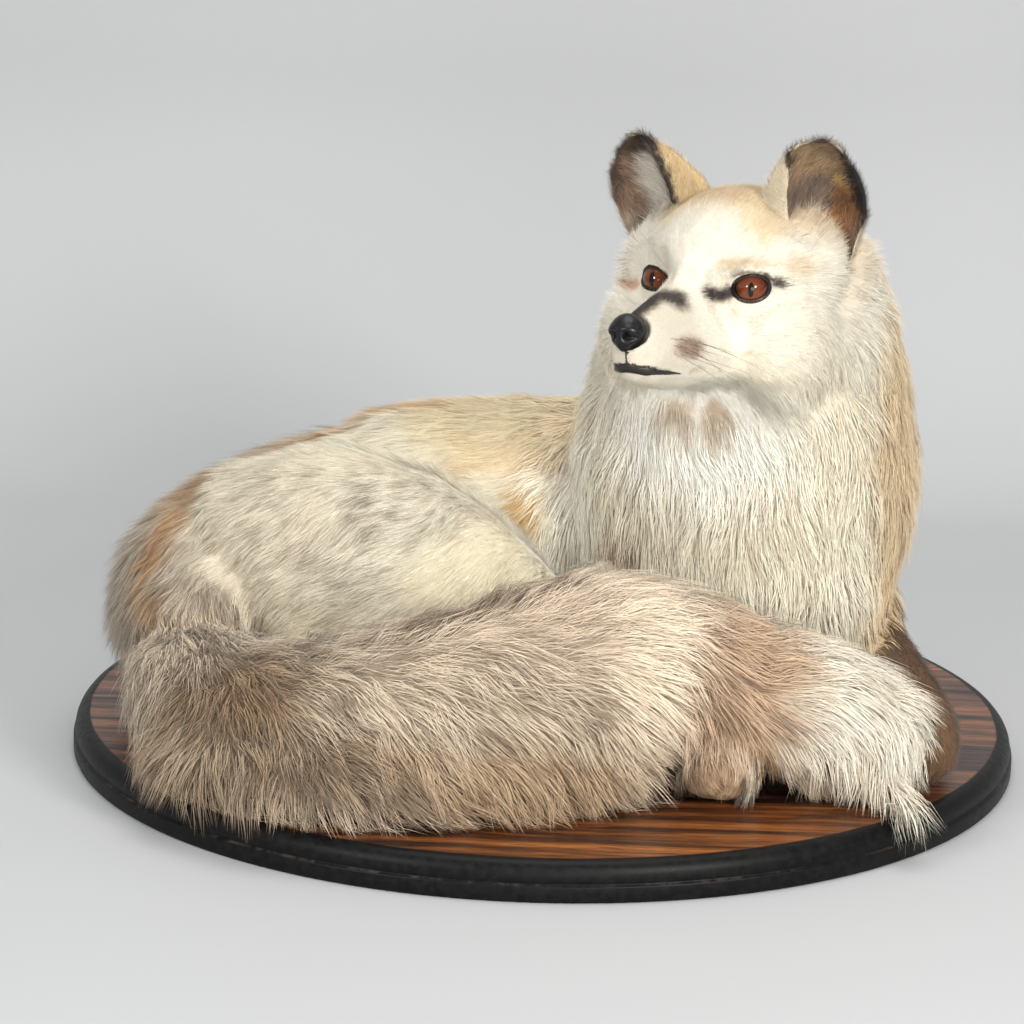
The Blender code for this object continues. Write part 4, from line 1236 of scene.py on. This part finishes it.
# ---------------------------------------------------------------- materials
class Nodes:
    """Short ways to build a material's nodes."""

    def __init__(self, name, rough=0.5, specular=0.5):
        self.material = bpy.data.materials.new(name)
        self.material.use_nodes = True
        self.tree = self.material.node_tree
        self.shader = self.tree.nodes["Principled BSDF"]
        self.shade(Roughness=rough, Specular_IOR_Level=specular)

    def add(self, kind, **values):
        """A node of this kind, with its properties, or its inputs by name or place, set or linked."""
        node = self.tree.nodes.new(kind)
        for key, value in values.items():
            if not key.startswith("in_"):
                setattr(node, key, value)
        for key, value in values.items():
            if key.startswith("in_"):
                key = key[3:].replace("_", " ")
                self.feed(node.inputs[int(key) if key.isdigit() else key], value)
        return node

    def feed(self, socket, value):
        if isinstance(value, bpy.types.NodeSocket):
            self.tree.links.new(value, socket)
        else:
            socket.default_value = value

    def maths(self, operation, a, b=0.0, clamp=False):
        node = self.add("ShaderNodeMath", operation=operation, use_clamp=clamp)
        self.feed(node.inputs[0], a)
        self.feed(node.inputs[1], b)
        return node.outputs[0]

    def squares(self, a, b):
        """The sum of two squares."""
        return self.maths("ADD", self.maths("MULTIPLY", a, a), self.maths("MULTIPLY", b, b))

    def mix(self, share, a, b, blend="MIX"):
        node = self.add("ShaderNodeMix", data_type="RGBA", blend_type=blend)
        self.feed(node.inputs["Factor"], share)
        self.feed(node.inputs[6], a)
        self.feed(node.inputs[7], b)
        return node.outputs[2]

    def ramp(self, value, stops):
        node = self.add("ShaderNodeValToRGB")
        while len(node.color_ramp.elements) < len(stops):
            node.color_ramp.elements.new(0.5)
        for element, (place, colour) in zip(node.color_ramp.elements, stops):
            element.position = place
            element.color = (*colour, 1.0)
        self.feed(node.inputs[0], value)
        return node.outputs[0]

    def greys(self, value, *stops):
        """A ramp of greys, from pairs of place and brightness."""
        return self.ramp(value, [(place, (tone, tone, tone)) for place, tone in stops])

    def noise(self, vector, scale, detail=3.0, rough=0.5):
        node = self.add("ShaderNodeTexNoise")
        self.feed(node.inputs["Vector"], vector)
        for key, value in (("Scale", scale), ("Detail", detail), ("Roughness", rough)):
            node.inputs[key].default_value = value
        return node.outputs[0]

    def place(self):
        return self.add("ShaderNodeTexCoord").outputs["Object"]

    def attribute(self, name):
        return self.add("ShaderNodeAttribute", attribute_name=name)

    def bump(self, height, strength, distance):
        node = self.add("ShaderNodeBump")
        self.feed(node.inputs["Height"], height)
        node.inputs["Strength"].default_value = strength
        node.inputs["Distance"].default_value = distance
        self.shade(Normal=node.outputs[0])

    def shade(self, **values):
        """Sets or links inputs of the shader."""
        for key, value in values.items():
            self.feed(self.shader.inputs[key.replace("_", " ")], value)

    def base(self, colour):
        """The finished material, with its colour."""
        self.shade(Base_Color=colour)
        return self.material


def fur_material():
    """Hair: the coat's own tint with fine uneven tone and a soft sheen."""
    n = Nodes("fur", rough=0.7, specular=0.12)
    place = n.place()
    tone = n.greys(n.noise(place, 230.0, 2.0), (0.30, 0.93), (0.70, 1.06))
    tint = n.attribute("tint").outputs["Color"]
    rough = n.greys(n.noise(place, 90.0), (0.3, 0.58), (0.7, 0.74))
    n.shade(Sheen_Weight=0.10, Sheen_Roughness=0.5, Roughness=rough)
    return n.base(n.mix(1.0, tint, tone, "MULTIPLY"))


def skin_material():
    """Short flat fur: the same tint, broken up by fine bumps."""
    n = Nodes("skin", rough=0.8, specular=0.10)
    place = n.place()
    fine = n.noise(place, 900.0, 4.0, 0.65)
    tone = n.greys(fine, (0.30, 0.86), (0.72, 1.04))
    n.bump(fine, 0.4, 0.0004)
    tint = n.attribute("tint").outputs["Color"]
    return n.base(n.mix(1.0, tint, tone, "MULTIPLY"))


def lid_material():
    """The painted, slightly moist rims of the eyes and the lips."""
    n = Nodes("rims", rough=0.35, specular=0.5)
    place = n.place()
    grain = n.noise(place, 1500.0, 3.0)
    n.bump(grain, 0.4, 0.0003)
    rough = n.greys(grain, (0.3, 0.22), (0.7, 0.50))
    n.shade(Roughness=rough)
    return n.base(n.ramp(grain, ((0.35, (0.008, 0.007, 0.007)), (0.75, (0.030, 0.024, 0.022)))))


def eye_material():
    """Glass eye: red-brown iris with fine fibres and a darker rim, an upright slit pupil, glossy cornea."""
    n = Nodes("eye_glass", rough=0.6, specular=0.0)
    part = n.add("ShaderNodeSeparateXYZ", in_0=n.attribute("eye").outputs["Vector"])
    across, up = part.outputs[1], part.outputs[2]
    reach = n.maths("SQRT", n.squares(across, up))
    iris = n.ramp(
        reach,
        (
            (0.0, (0.110, 0.024, 0.007)), (0.40, (0.160, 0.038, 0.010)), (0.68, (0.110, 0.022, 0.007)),
            (0.86, (0.040, 0.009, 0.004)), (0.94, (0.004, 0.003, 0.003)),
        ),
    )
    angle = n.add("ShaderNodeMath", operation="ARCTAN2", in_0=up, in_1=across).outputs[0]
    fibre = n.add(
        "ShaderNodeCombineXYZ", in_0=n.maths("MULTIPLY", angle, 7.0), in_1=n.maths("MULTIPLY", reach, 1.5)
    )
    streak = n.greys(n.noise(fibre.outputs[0], 2.4, 4.0), (0.3, 0.72), (0.7, 1.25))
    iris = n.mix(1.0, iris, streak, "MULTIPLY")
    slit = n.squares(n.maths("DIVIDE", across, PUPIL[0]), n.maths("DIVIDE", up, PUPIL[1]))
    open_ = n.greys(slit, (0.75, 0.0), (1.0, 1.0))
    n.shade(Coat_Weight=1.0, Coat_Roughness=0.015, Coat_IOR=1.5)
    return n.base(n.mix(open_, (0.003, 0.003, 0.003, 1.0), iris))


def nose_material():
    """Black painted nose pad with a fine pebbled grain."""
    n = Nodes("nose_pad", rough=0.28, specular=0.3)
    place = n.place()
    cell = n.add("ShaderNodeTexVoronoi", in_Vector=place, in_Scale=1100.0)
    grain = n.maths("MULTIPLY", cell.outputs["Distance"], -1.0)
    n.bump(grain, 0.12, 0.0003)
    worn = n.noise(place, 420.0)
    n.shade(Roughness=n.greys(worn, (0.3, 0.26), (0.7, 0.42)))
    return n.base(n.ramp(worn, ((0.3, (0.005, 0.005, 0.006)), (0.8, (0.015, 0.014, 0.014)))))


def whisker_material():
    """Dark hair, paler in places."""
    n = Nodes("whisker", rough=0.4, specular=0.4)
    tone = n.noise(n.place(), 60.0)
    return n.base(n.ramp(tone, ((0.4, (0.05, 0.035, 0.028)), (0.6, (0.22, 0.16, 0.12)))))


def board_material():
    """Stained red-brown wood, grain along X, with dark pores; its edge is painted black and lightly worn."""
    n = Nodes("board", rough=0.35, specular=0.5)
    place = n.place()
    part = n.add("ShaderNodeSeparateXYZ", in_0=place)
    x, y, z = part.outputs
    bend = n.maths("MULTIPLY", n.noise(place, 5.0, 2.0), 0.030)
    board = n.maths("FLOOR", n.maths("MULTIPLY", n.maths("ADD", y, 0.003), 14.0))
    grain_at = n.add(
        "ShaderNodeCombineXYZ",
        in_0=n.maths("ADD", n.maths("MULTIPLY", x, 5.0), n.maths("MULTIPLY", board, 3.7)),
        in_1=n.maths("MULTIPLY", n.maths("ADD", y, bend), 95.0),
        in_2=n.maths("MULTIPLY", board, 1.3),
    ).outputs[0]
    streak = n.noise(grain_at, 1.0, 6.0, 0.62)
    wood = n.ramp(
        streak,
        (
            (0.36, (0.010, 0.004, 0.003)), (0.45, (0.060, 0.018, 0.006)), (0.55, (0.195, 0.060, 0.015)),
            (0.68, (0.330, 0.112, 0.025)),
        ),
    )
    pore_at = n.add(
        "ShaderNodeCombineXYZ", in_0=n.maths("MULTIPLY", x, 38.0), in_1=n.maths("MULTIPLY", y, 900.0)
    ).outputs[0]
    pores = n.greys(n.noise(pore_at, 1.0, 3.0), (0.36, 0.25), (0.50, 1.0))
    wood = n.mix(1.0, wood, pores, "MULTIPLY")
    reach = n.maths("SQRT", n.squares(x, y))
    uneven = n.maths("MULTIPLY", n.noise(place, 30.0), 0.0024)
    edge = n.maths("SUBTRACT", n.maths("ADD", reach, uneven), BOARD_RADIUS - PAINTED)
    black = n.greys(n.maths("MULTIPLY", edge, 500.0, clamp=True), (0.1, 0.0), (0.7, 1.0))
    dust = n.noise(place, 230.0, 4.0, 0.6)
    paint_colour = n.ramp(dust, ((0.40, (0.003, 0.003, 0.003)), (0.75, (0.010, 0.0095, 0.0095))))
    line = n.maths("ABSOLUTE", n.maths("SUBTRACT", z, WORN_LINE))
    near = n.greys(n.maths("MULTIPLY", line, 1000.0), (0.25, 1.0), (0.75, 0.0))
    scuffs = n.greys(n.noise(place, 60.0, 5.0, 0.7), (0.50, 0.0), (0.62, 0.8))
    worn = n.maths("MULTIPLY", near, scuffs)
    paint_colour = n.mix(worn, paint_colour, (0.050, 0.042, 0.036, 1.0))
    height = n.mix(black, pores, dust)
    n.bump(height, 0.20, 0.0003)
    wood_rough = n.greys(streak, (0.3, 0.42), (0.7, 0.26))
    paint_rough = n.greys(dust, (0.3, 0.38), (0.7, 0.52))
    n.shade(Roughness=n.mix(black, wood_rough, paint_rough))
    n.shade(Specular_IOR_Level=n.greys(black, (0.0, 0.40), (1.0, 0.14)))
    return n.base(n.mix(black, wood, paint_colour))


def floor_material():
    """A plain pale floor with a very faint unevenness."""
    n = Nodes("floor", rough=FLOOR_ROUGHNESS, specular=0.2)
    soft = n.noise(n.place(), 3.0, 2.0)
    low = tuple(0.985 * c for c in FLOOR_COLOUR)
    return n.base(n.ramp(soft, ((0.3, low), (0.7, FLOOR_COLOUR))))


# ---------------------------------------------------------------- eyes, nose and mouth
def grid_mesh(name, rows, closed=True):
    """A mesh from rows of points, each row the same length and going round if closed."""
    rows = np.array(rows)
    return make_mesh(name, rows.reshape(-1, 3), grid_faces(*rows.shape[:2], closed))


def ball_mesh(name, around, up):
    """(mesh, points) of a ball with a radius of 1."""
    work = bmesh.new()
    bmesh.ops.create_uvsphere(work, u_segments=around, v_segments=up, radius=1.0)
    mesh = bpy.data.meshes.new(name)
    work.to_mesh(mesh)
    work.free()
    return mesh, read_mesh(mesh)[0]


def smoothed(mesh):
    """The mesh with smooth shading."""
    mesh.polygons.foreach_set("use_smooth", np.ones(len(mesh.polygons), bool))
    mesh.update()
    return mesh


def board():
    """The round board, turned on a lathe: an upright band, a fine step and a rounded upper edge."""
    turn = np.linspace(0.0, 2 * np.pi, BOARD_SIDES, endpoint=False)
    rows = []
    for inward, height in BOARD_PROFILE:
        reach = max(BOARD_RADIUS - inward / 1000.0, 1e-6)
        level = np.full(BOARD_SIDES, height / 1000.0)
        rows.append(np.stack([reach * np.cos(turn), reach * np.sin(turn), level], axis=1))
    return show("board", smoothed(grid_mesh("board", rows)))


def eyeball(side):
    """A glass eye, with the attribute "eye" that tells its iris where it looks."""
    turn, lift = EYES[side][6]
    mesh, points = ball_mesh("glass", 64, 48)
    # the poles look ahead, and the cornea stands a little proud
    ball = np.roll(points, 1, axis=1)
    bulge = 1.0 + CORNEA * smoothstep(0.80, 1.0, ball[:, 0])
    eye = placed(ball * bulge[:, None] * EYE_RADIUS, eye_frame(side, turn, 0.0, lift))
    mesh.vertices.foreach_set("co", eye.astype(np.float32).ravel())
    attribute = mesh.attributes.new("eye", "FLOAT_VECTOR", "POINT")
    attribute.data.foreach_set("vector", ball.astype(np.float32).ravel())
    return show("glass_eye_left" if side > 0 else "glass_eye_right", smoothed(mesh))


def lids(side):
    """The dark rim round an eye: a ring that turns in over the eye and out under the fur."""
    edge = eye_outline(side)
    run = unit(np.roll(edge, -1, axis=0) - np.roll(edge, 1, axis=0))
    out = unit(np.cross(run, edge)) * side
    rows = []
    for offset, lift in LID_ROWS:
        ray = np.cos(offset) * edge + np.sin(offset) * out
        rows.append(ray * (EYE_RADIUS + lift))
    mesh = grid_mesh("lid", rows if side > 0 else rows[::-1])
    points, faces = read_mesh(mesh)
    return placed(points, opening_frame(side)), faces


def nose_pad():
    """The nose pad: two nostrils that open to the sides, and a groove down the middle."""
    mesh, p = ball_mesh("nose_pad", 96, 72)
    shape = p * (1 - 0.10 * smoothstep(0.2, 1.0, p[:, 2:]) * (1, 0, 0))
    shape = shape * NOSE_RADII
    x, y, z = p.T
    # narrower below, where the pad runs down to the lip
    shape[:, 1] *= np.interp(z, (-1.0, -0.5, 0.1, 1.0), (0.45, 0.78, 1.0, 0.92))
    side = np.abs(y)
    # nostrils: round in front, running out into a slit at the side
    pit = np.exp(-(((side - 0.40) / 0.17) ** 2 + ((z + 0.12) / 0.20) ** 2)) * (x > 0)
    slit = np.exp(-(((z + 0.30 - 0.25 * (side - 0.4)) / 0.09) ** 2)) * (x > -0.2)
    slit = slit * smoothstep(0.42, 0.60, side) * smoothstep(0.98, 0.80, side)
    groove = np.exp(-((y / 0.06) ** 2)) * smoothstep(0.25, -0.2, z) * (x > 0)
    inward = -unit(p)
    shape += inward * (0.0050 * pit + 0.0020 * slit + 0.0009 * groove)[:, None]
    # the upper rim of each nostril swells
    rim = np.exp(-(((side - 0.45) / 0.26) ** 2 + ((z - 0.22) / 0.16) ** 2)) * (x > 0)
    shape -= inward * (0.0007 * rim)[:, None]
    frame = HEAD @ Matrix.Translation(NOSE_PLACE)
    mesh.vertices.foreach_set("co", placed(shape, frame).astype(np.float32).ravel())
    return show("nose_pad", smoothed(mesh))


def tube(line, radii, sides=8):
    """(points, faces) of a closed tube along a line of points."""
    line = np.array(line)
    run = unit(np.gradient(line, axis=0))
    side = unit(np.cross(run, (0.0, 0.0, 1.0)))
    up = np.cross(side, run)
    turn = np.linspace(0, 2 * np.pi, sides, endpoint=False)
    ring = np.cos(turn)[None, :, None] * side[:, None] + np.sin(turn)[None, :, None] * up[:, None]
    points = (line[:, None] + ring * np.array(radii)[:, None, None]).reshape(-1, 3)
    last = (len(line) - 1) * sides
    ends = [face for c in range(1, sides - 1) for face in ((0, c + 1, c), (last, last + c, last + c + 1))]
    return points, np.concatenate([grid_faces(len(line), sides), ends])


def joined(parts):
    """(points, faces) of several parts as one."""
    points, faces, start = [], [], 0
    for p, f in parts:
        points.append(p)
        faces.append(f + start)
        start += len(p)
    return np.concatenate(points), np.concatenate(faces)


def on_skin(tree, places, away):
    """Places drawn onto the skin and lifted off it."""
    hits = [tree.find_nearest(p) for p in places.tolist()]
    return np.array([(h[0] + h[1] * away)[:] for h in hits])


def smooth_line(points, number):
    """Evenly numbered points on a smooth curve through the given ones."""
    points = np.array(points, float)
    ends = np.concatenate([[2 * points[0] - points[1]], points, [2 * points[-1] - points[-2]]])
    result = []
    for t in np.linspace(0.0, len(points) - 1.000001, number):
        k, f = int(t), t % 1.0
        result.append(spline(*ends[k : k + 4], f))
    return np.array(result)


def lips(tree):
    """The dark lower lip, broad in front and thin at the corners, and the seam from the nose pad to it."""
    half = np.array(MOUTH)
    whole = np.concatenate([half[::-1], (half * (1, -1, 1))[1:]])
    number = 81
    line = smooth_line(whole, number)
    place = np.abs(np.linspace(-1.0, 1.0, number))
    down = unit(np.array((-0.30, 0.0, -1.0)))
    rows = []
    width = lip_width(place) * (1.0 + 0.16 * wobble(line, 260.0)[:, 0])
    fade = np.interp(place, (0, 0.8, 1), (1, 0.8, 0.3))
    for step in np.linspace(-0.12, 1.08, 15):
        spot = placed(line + down * (step * width)[:, None], HEAD)
        crown = np.sqrt(max(0.0, 1.0 - (2 * np.clip(step, 0, 1) - 1) ** 2))
        away = (0.0002 + 0.0010 * crown if 0 < step < 1 else -0.0008) * fade
        rows.append([on_skin(tree, p[None], a)[0] for p, a in zip(spot, away)])
    band = grid_mesh("lip", rows, closed=False)
    seam = placed(smooth_line(SEAM, 13), HEAD)
    radii = np.interp(np.linspace(0, 1, 13), (0, 0.4, 0.8, 1), (0.0016, 0.0007, 0.0006, 0.0013))
    return joined([read_mesh(band), tube(on_skin(tree, seam, -0.0002), radii, 8)])


def whiskers(tree, random):
    """Thin whiskers from the pads on both sides of the muzzle, swept back along the cheeks."""
    parts = []
    for side in SIDES:
        for row in range(3):
            for k in range(3 - row % 2):
                place = np.array(WHISKER_PAD) + (-0.0055 * k, 0.0, -0.0042 * row)
                place += random.normal(0, 0.0006, 3)
                root = on_skin(tree, placed(place * (1, side, 1), HEAD)[None], 0.0)[0]
                length = random.uniform(0.030, 0.052)
                out = np.array((-0.72 + 0.1 * k, side * 0.62, -0.10 - 0.10 * row + random.normal(0, 0.08)))
                out = head_vectors(unit(out))
                bend = head_vectors(np.array((-0.35, -side * 0.10, -0.22 + random.normal(0, 0.1))))
                t = np.linspace(0.0, 1.0, 10)[:, None]
                line = root + length * (t * out + 0.75 * t * t * bend)
                parts.append(tube(line, 0.00012 * np.interp(t[:, 0], (0, 0.6, 1), (1.0, 0.7, 0.12)), 4))
    return joined(parts)


# ---------------------------------------------------------------- camera, floor and light
def camera():
    """The photo's camera."""
    data = bpy.data.cameras.new("camera")
    data.lens = CAMERA_LENS
    data.clip_start, data.clip_end = 0.05, 20.0
    obj = bpy.data.objects.new("camera", data)
    level = math.cos(CAMERA_PITCH)
    look = Vector((math.sin(CAMERA_YAW) * level, math.cos(CAMERA_YAW) * level, math.sin(CAMERA_PITCH)))
    turn = look.to_track_quat("-Z", "Y").to_matrix() @ Matrix.Rotation(CAMERA_ROLL, 3, "Z")
    obj.matrix_world = Matrix.Translation(CAMERA_PLACE) @ turn.to_4x4()
    bpy.context.collection.objects.link(obj)
    bpy.context.scene.camera = obj


def studio():
    """A plain pale floor that curves up into a backdrop."""
    middle = BACKDROP - SWEEP
    turns = np.linspace(0, math.pi / 2, 17)
    sweep = [(middle + SWEEP * math.sin(turn), SWEEP * (1 - math.cos(turn))) for turn in turns]
    profile = [(FLOOR_FRONT, 0.0), *sweep, (BACKDROP, BACKDROP_HEIGHT)]
    rows = [[(x, y, z) for x in (-FLOOR_HALF, FLOOR_HALF)] for y, z in profile]
    floor = show("floor", grid_mesh("floor", rows, closed=False))
    floor.data.materials.append(floor_material())
    floor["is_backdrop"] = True


def lamp(name, place, target, size, power, colour):
    """A round lamp that faces its target."""
    data = bpy.data.lights.new(name, "AREA")
    data.shape = "DISK"
    data.size = size
    data.energy = power
    data.color = colour
    obj = bpy.data.objects.new(name, data)
    aim = Vector(target) - Vector(place)
    obj.matrix_world = Matrix.Translation(place) @ aim.to_track_quat("-Z", "Y").to_matrix().to_4x4()
    bpy.context.collection.objects.link(obj)


def light():
    """The lamps and an even pale surrounding light."""
    for row in LAMPS:
        lamp(*row)
    world = bpy.data.worlds.new("studio")
    world.use_nodes = True
    background = world.node_tree.nodes["Background"]
    background.inputs["Color"].default_value = (*WORLD_COLOUR, 1.0)
    background.inputs["Strength"].default_value = WORLD_POWER
    bpy.context.scene.world = world
    bpy.context.scene.view_settings.view_transform = "Standard"


# ---------------------------------------------------------------- the whole
def belongs(obj):
    """Puts a piece on the one body."""
    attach(obj, "root")


def part_of(tufts, keep):
    """Some of the tufts."""
    return {key: value[keep] for key, value in tufts.items() if key != "leader"}


def coat(skin, random):
    """The fur: a few meshes of tufts, each for one part of the body."""
    look_up = unwrapped(skin.mesh)
    skin.open = openness(skin)
    tufts = brushed(rooted(skin, random), random)
    tufts["uv"] = look_up(tufts["root"])
    colours = coloured(tufts, random)
    material = fur_material()
    for name, parts, rings in COATS:
        chosen = np.flatnonzero(on(tufts["node"], parts))
        chosen = chosen[np.argsort(tufts["root"][chosen, 0], kind="stable")]
        triangles = len(chosen) * (6 * rings - 2)
        pieces = max(1, math.ceil(triangles / MOST_TRIANGLES))
        for k, some in enumerate(np.array_split(chosen, pieces)):
            label = f"coat_{name}_{k + 1}" if pieces > 1 else f"coat_{name}"
            mesh = tuft_mesh(label, part_of(tufts, some), [c[some] for c in colours], rings)
            mesh.materials.append(material)
            belongs(show(label, mesh))


def skin_tint(skin):
    """The skin's colours: the coat's markings in shade, and bare black rims round the eyes and mouth."""
    pale, dark, share = markings(skin.points, skin.nodes, skin.ears)
    tint = pale + 0.8 * share[:, None] * (dark - pale)
    # painted shade under the coat, deeper under longer hair
    tint = tint * np.interp(skin.length, *SHADES)[:, None]
    rim = on_lips(skin.points)
    for side in SIDES:
        rim = np.maximum(rim, smoothstep(0.15, 0.09, eye_margin(skin.points, side)))
    return tint + rim[:, None] * (RIM - tint)


def main():
    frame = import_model()
    cad_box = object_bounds()
    camera()
    studio()
    light()
    random = np.random.RandomState(SEED)
    flesh = Flesh(frame)
    skin = Skin(flesh)
    skin.mesh = make_mesh("skin", skin.points, skin.faces)
    paint(skin.mesh, skin_tint(skin))
    skin.mesh.materials.append(skin_material())
    hide = show("skin", skin.mesh)
    belongs(hide)
    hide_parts(*FLESH)
    tree = BVHTree.FromPolygons(skin.points.tolist(), skin.faces.tolist())
    face = show("eyelids_and_lips", make_mesh("rims", *joined([lids(1), lids(-1), lips(tree)])))
    face.data.materials.append(lid_material())
    belongs(face)
    glass = eye_material()
    for side, node in zip(SIDES, ("eye_left", "eye_right")):
        ball = eyeball(side)
        ball.data.materials.append(glass)
        belongs(ball)
        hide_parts(node)
    pad = nose_pad()
    pad.data.materials.append(nose_material())
    belongs(pad)
    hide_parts("nose")
    hairs = show("whiskers", make_mesh("whiskers", *whiskers(tree, random)))
    hairs.data.materials.append(whisker_material())
    belongs(hairs)
    coat(skin, random)
    base = board()
    base.data.materials.append(board_material())
    belongs(base)
    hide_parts("plinth")
    boxes = {"cad": cad_box, "visual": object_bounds()}
    {key: [list(corner) for corner in box] for key, box in boxes.items()}


main()
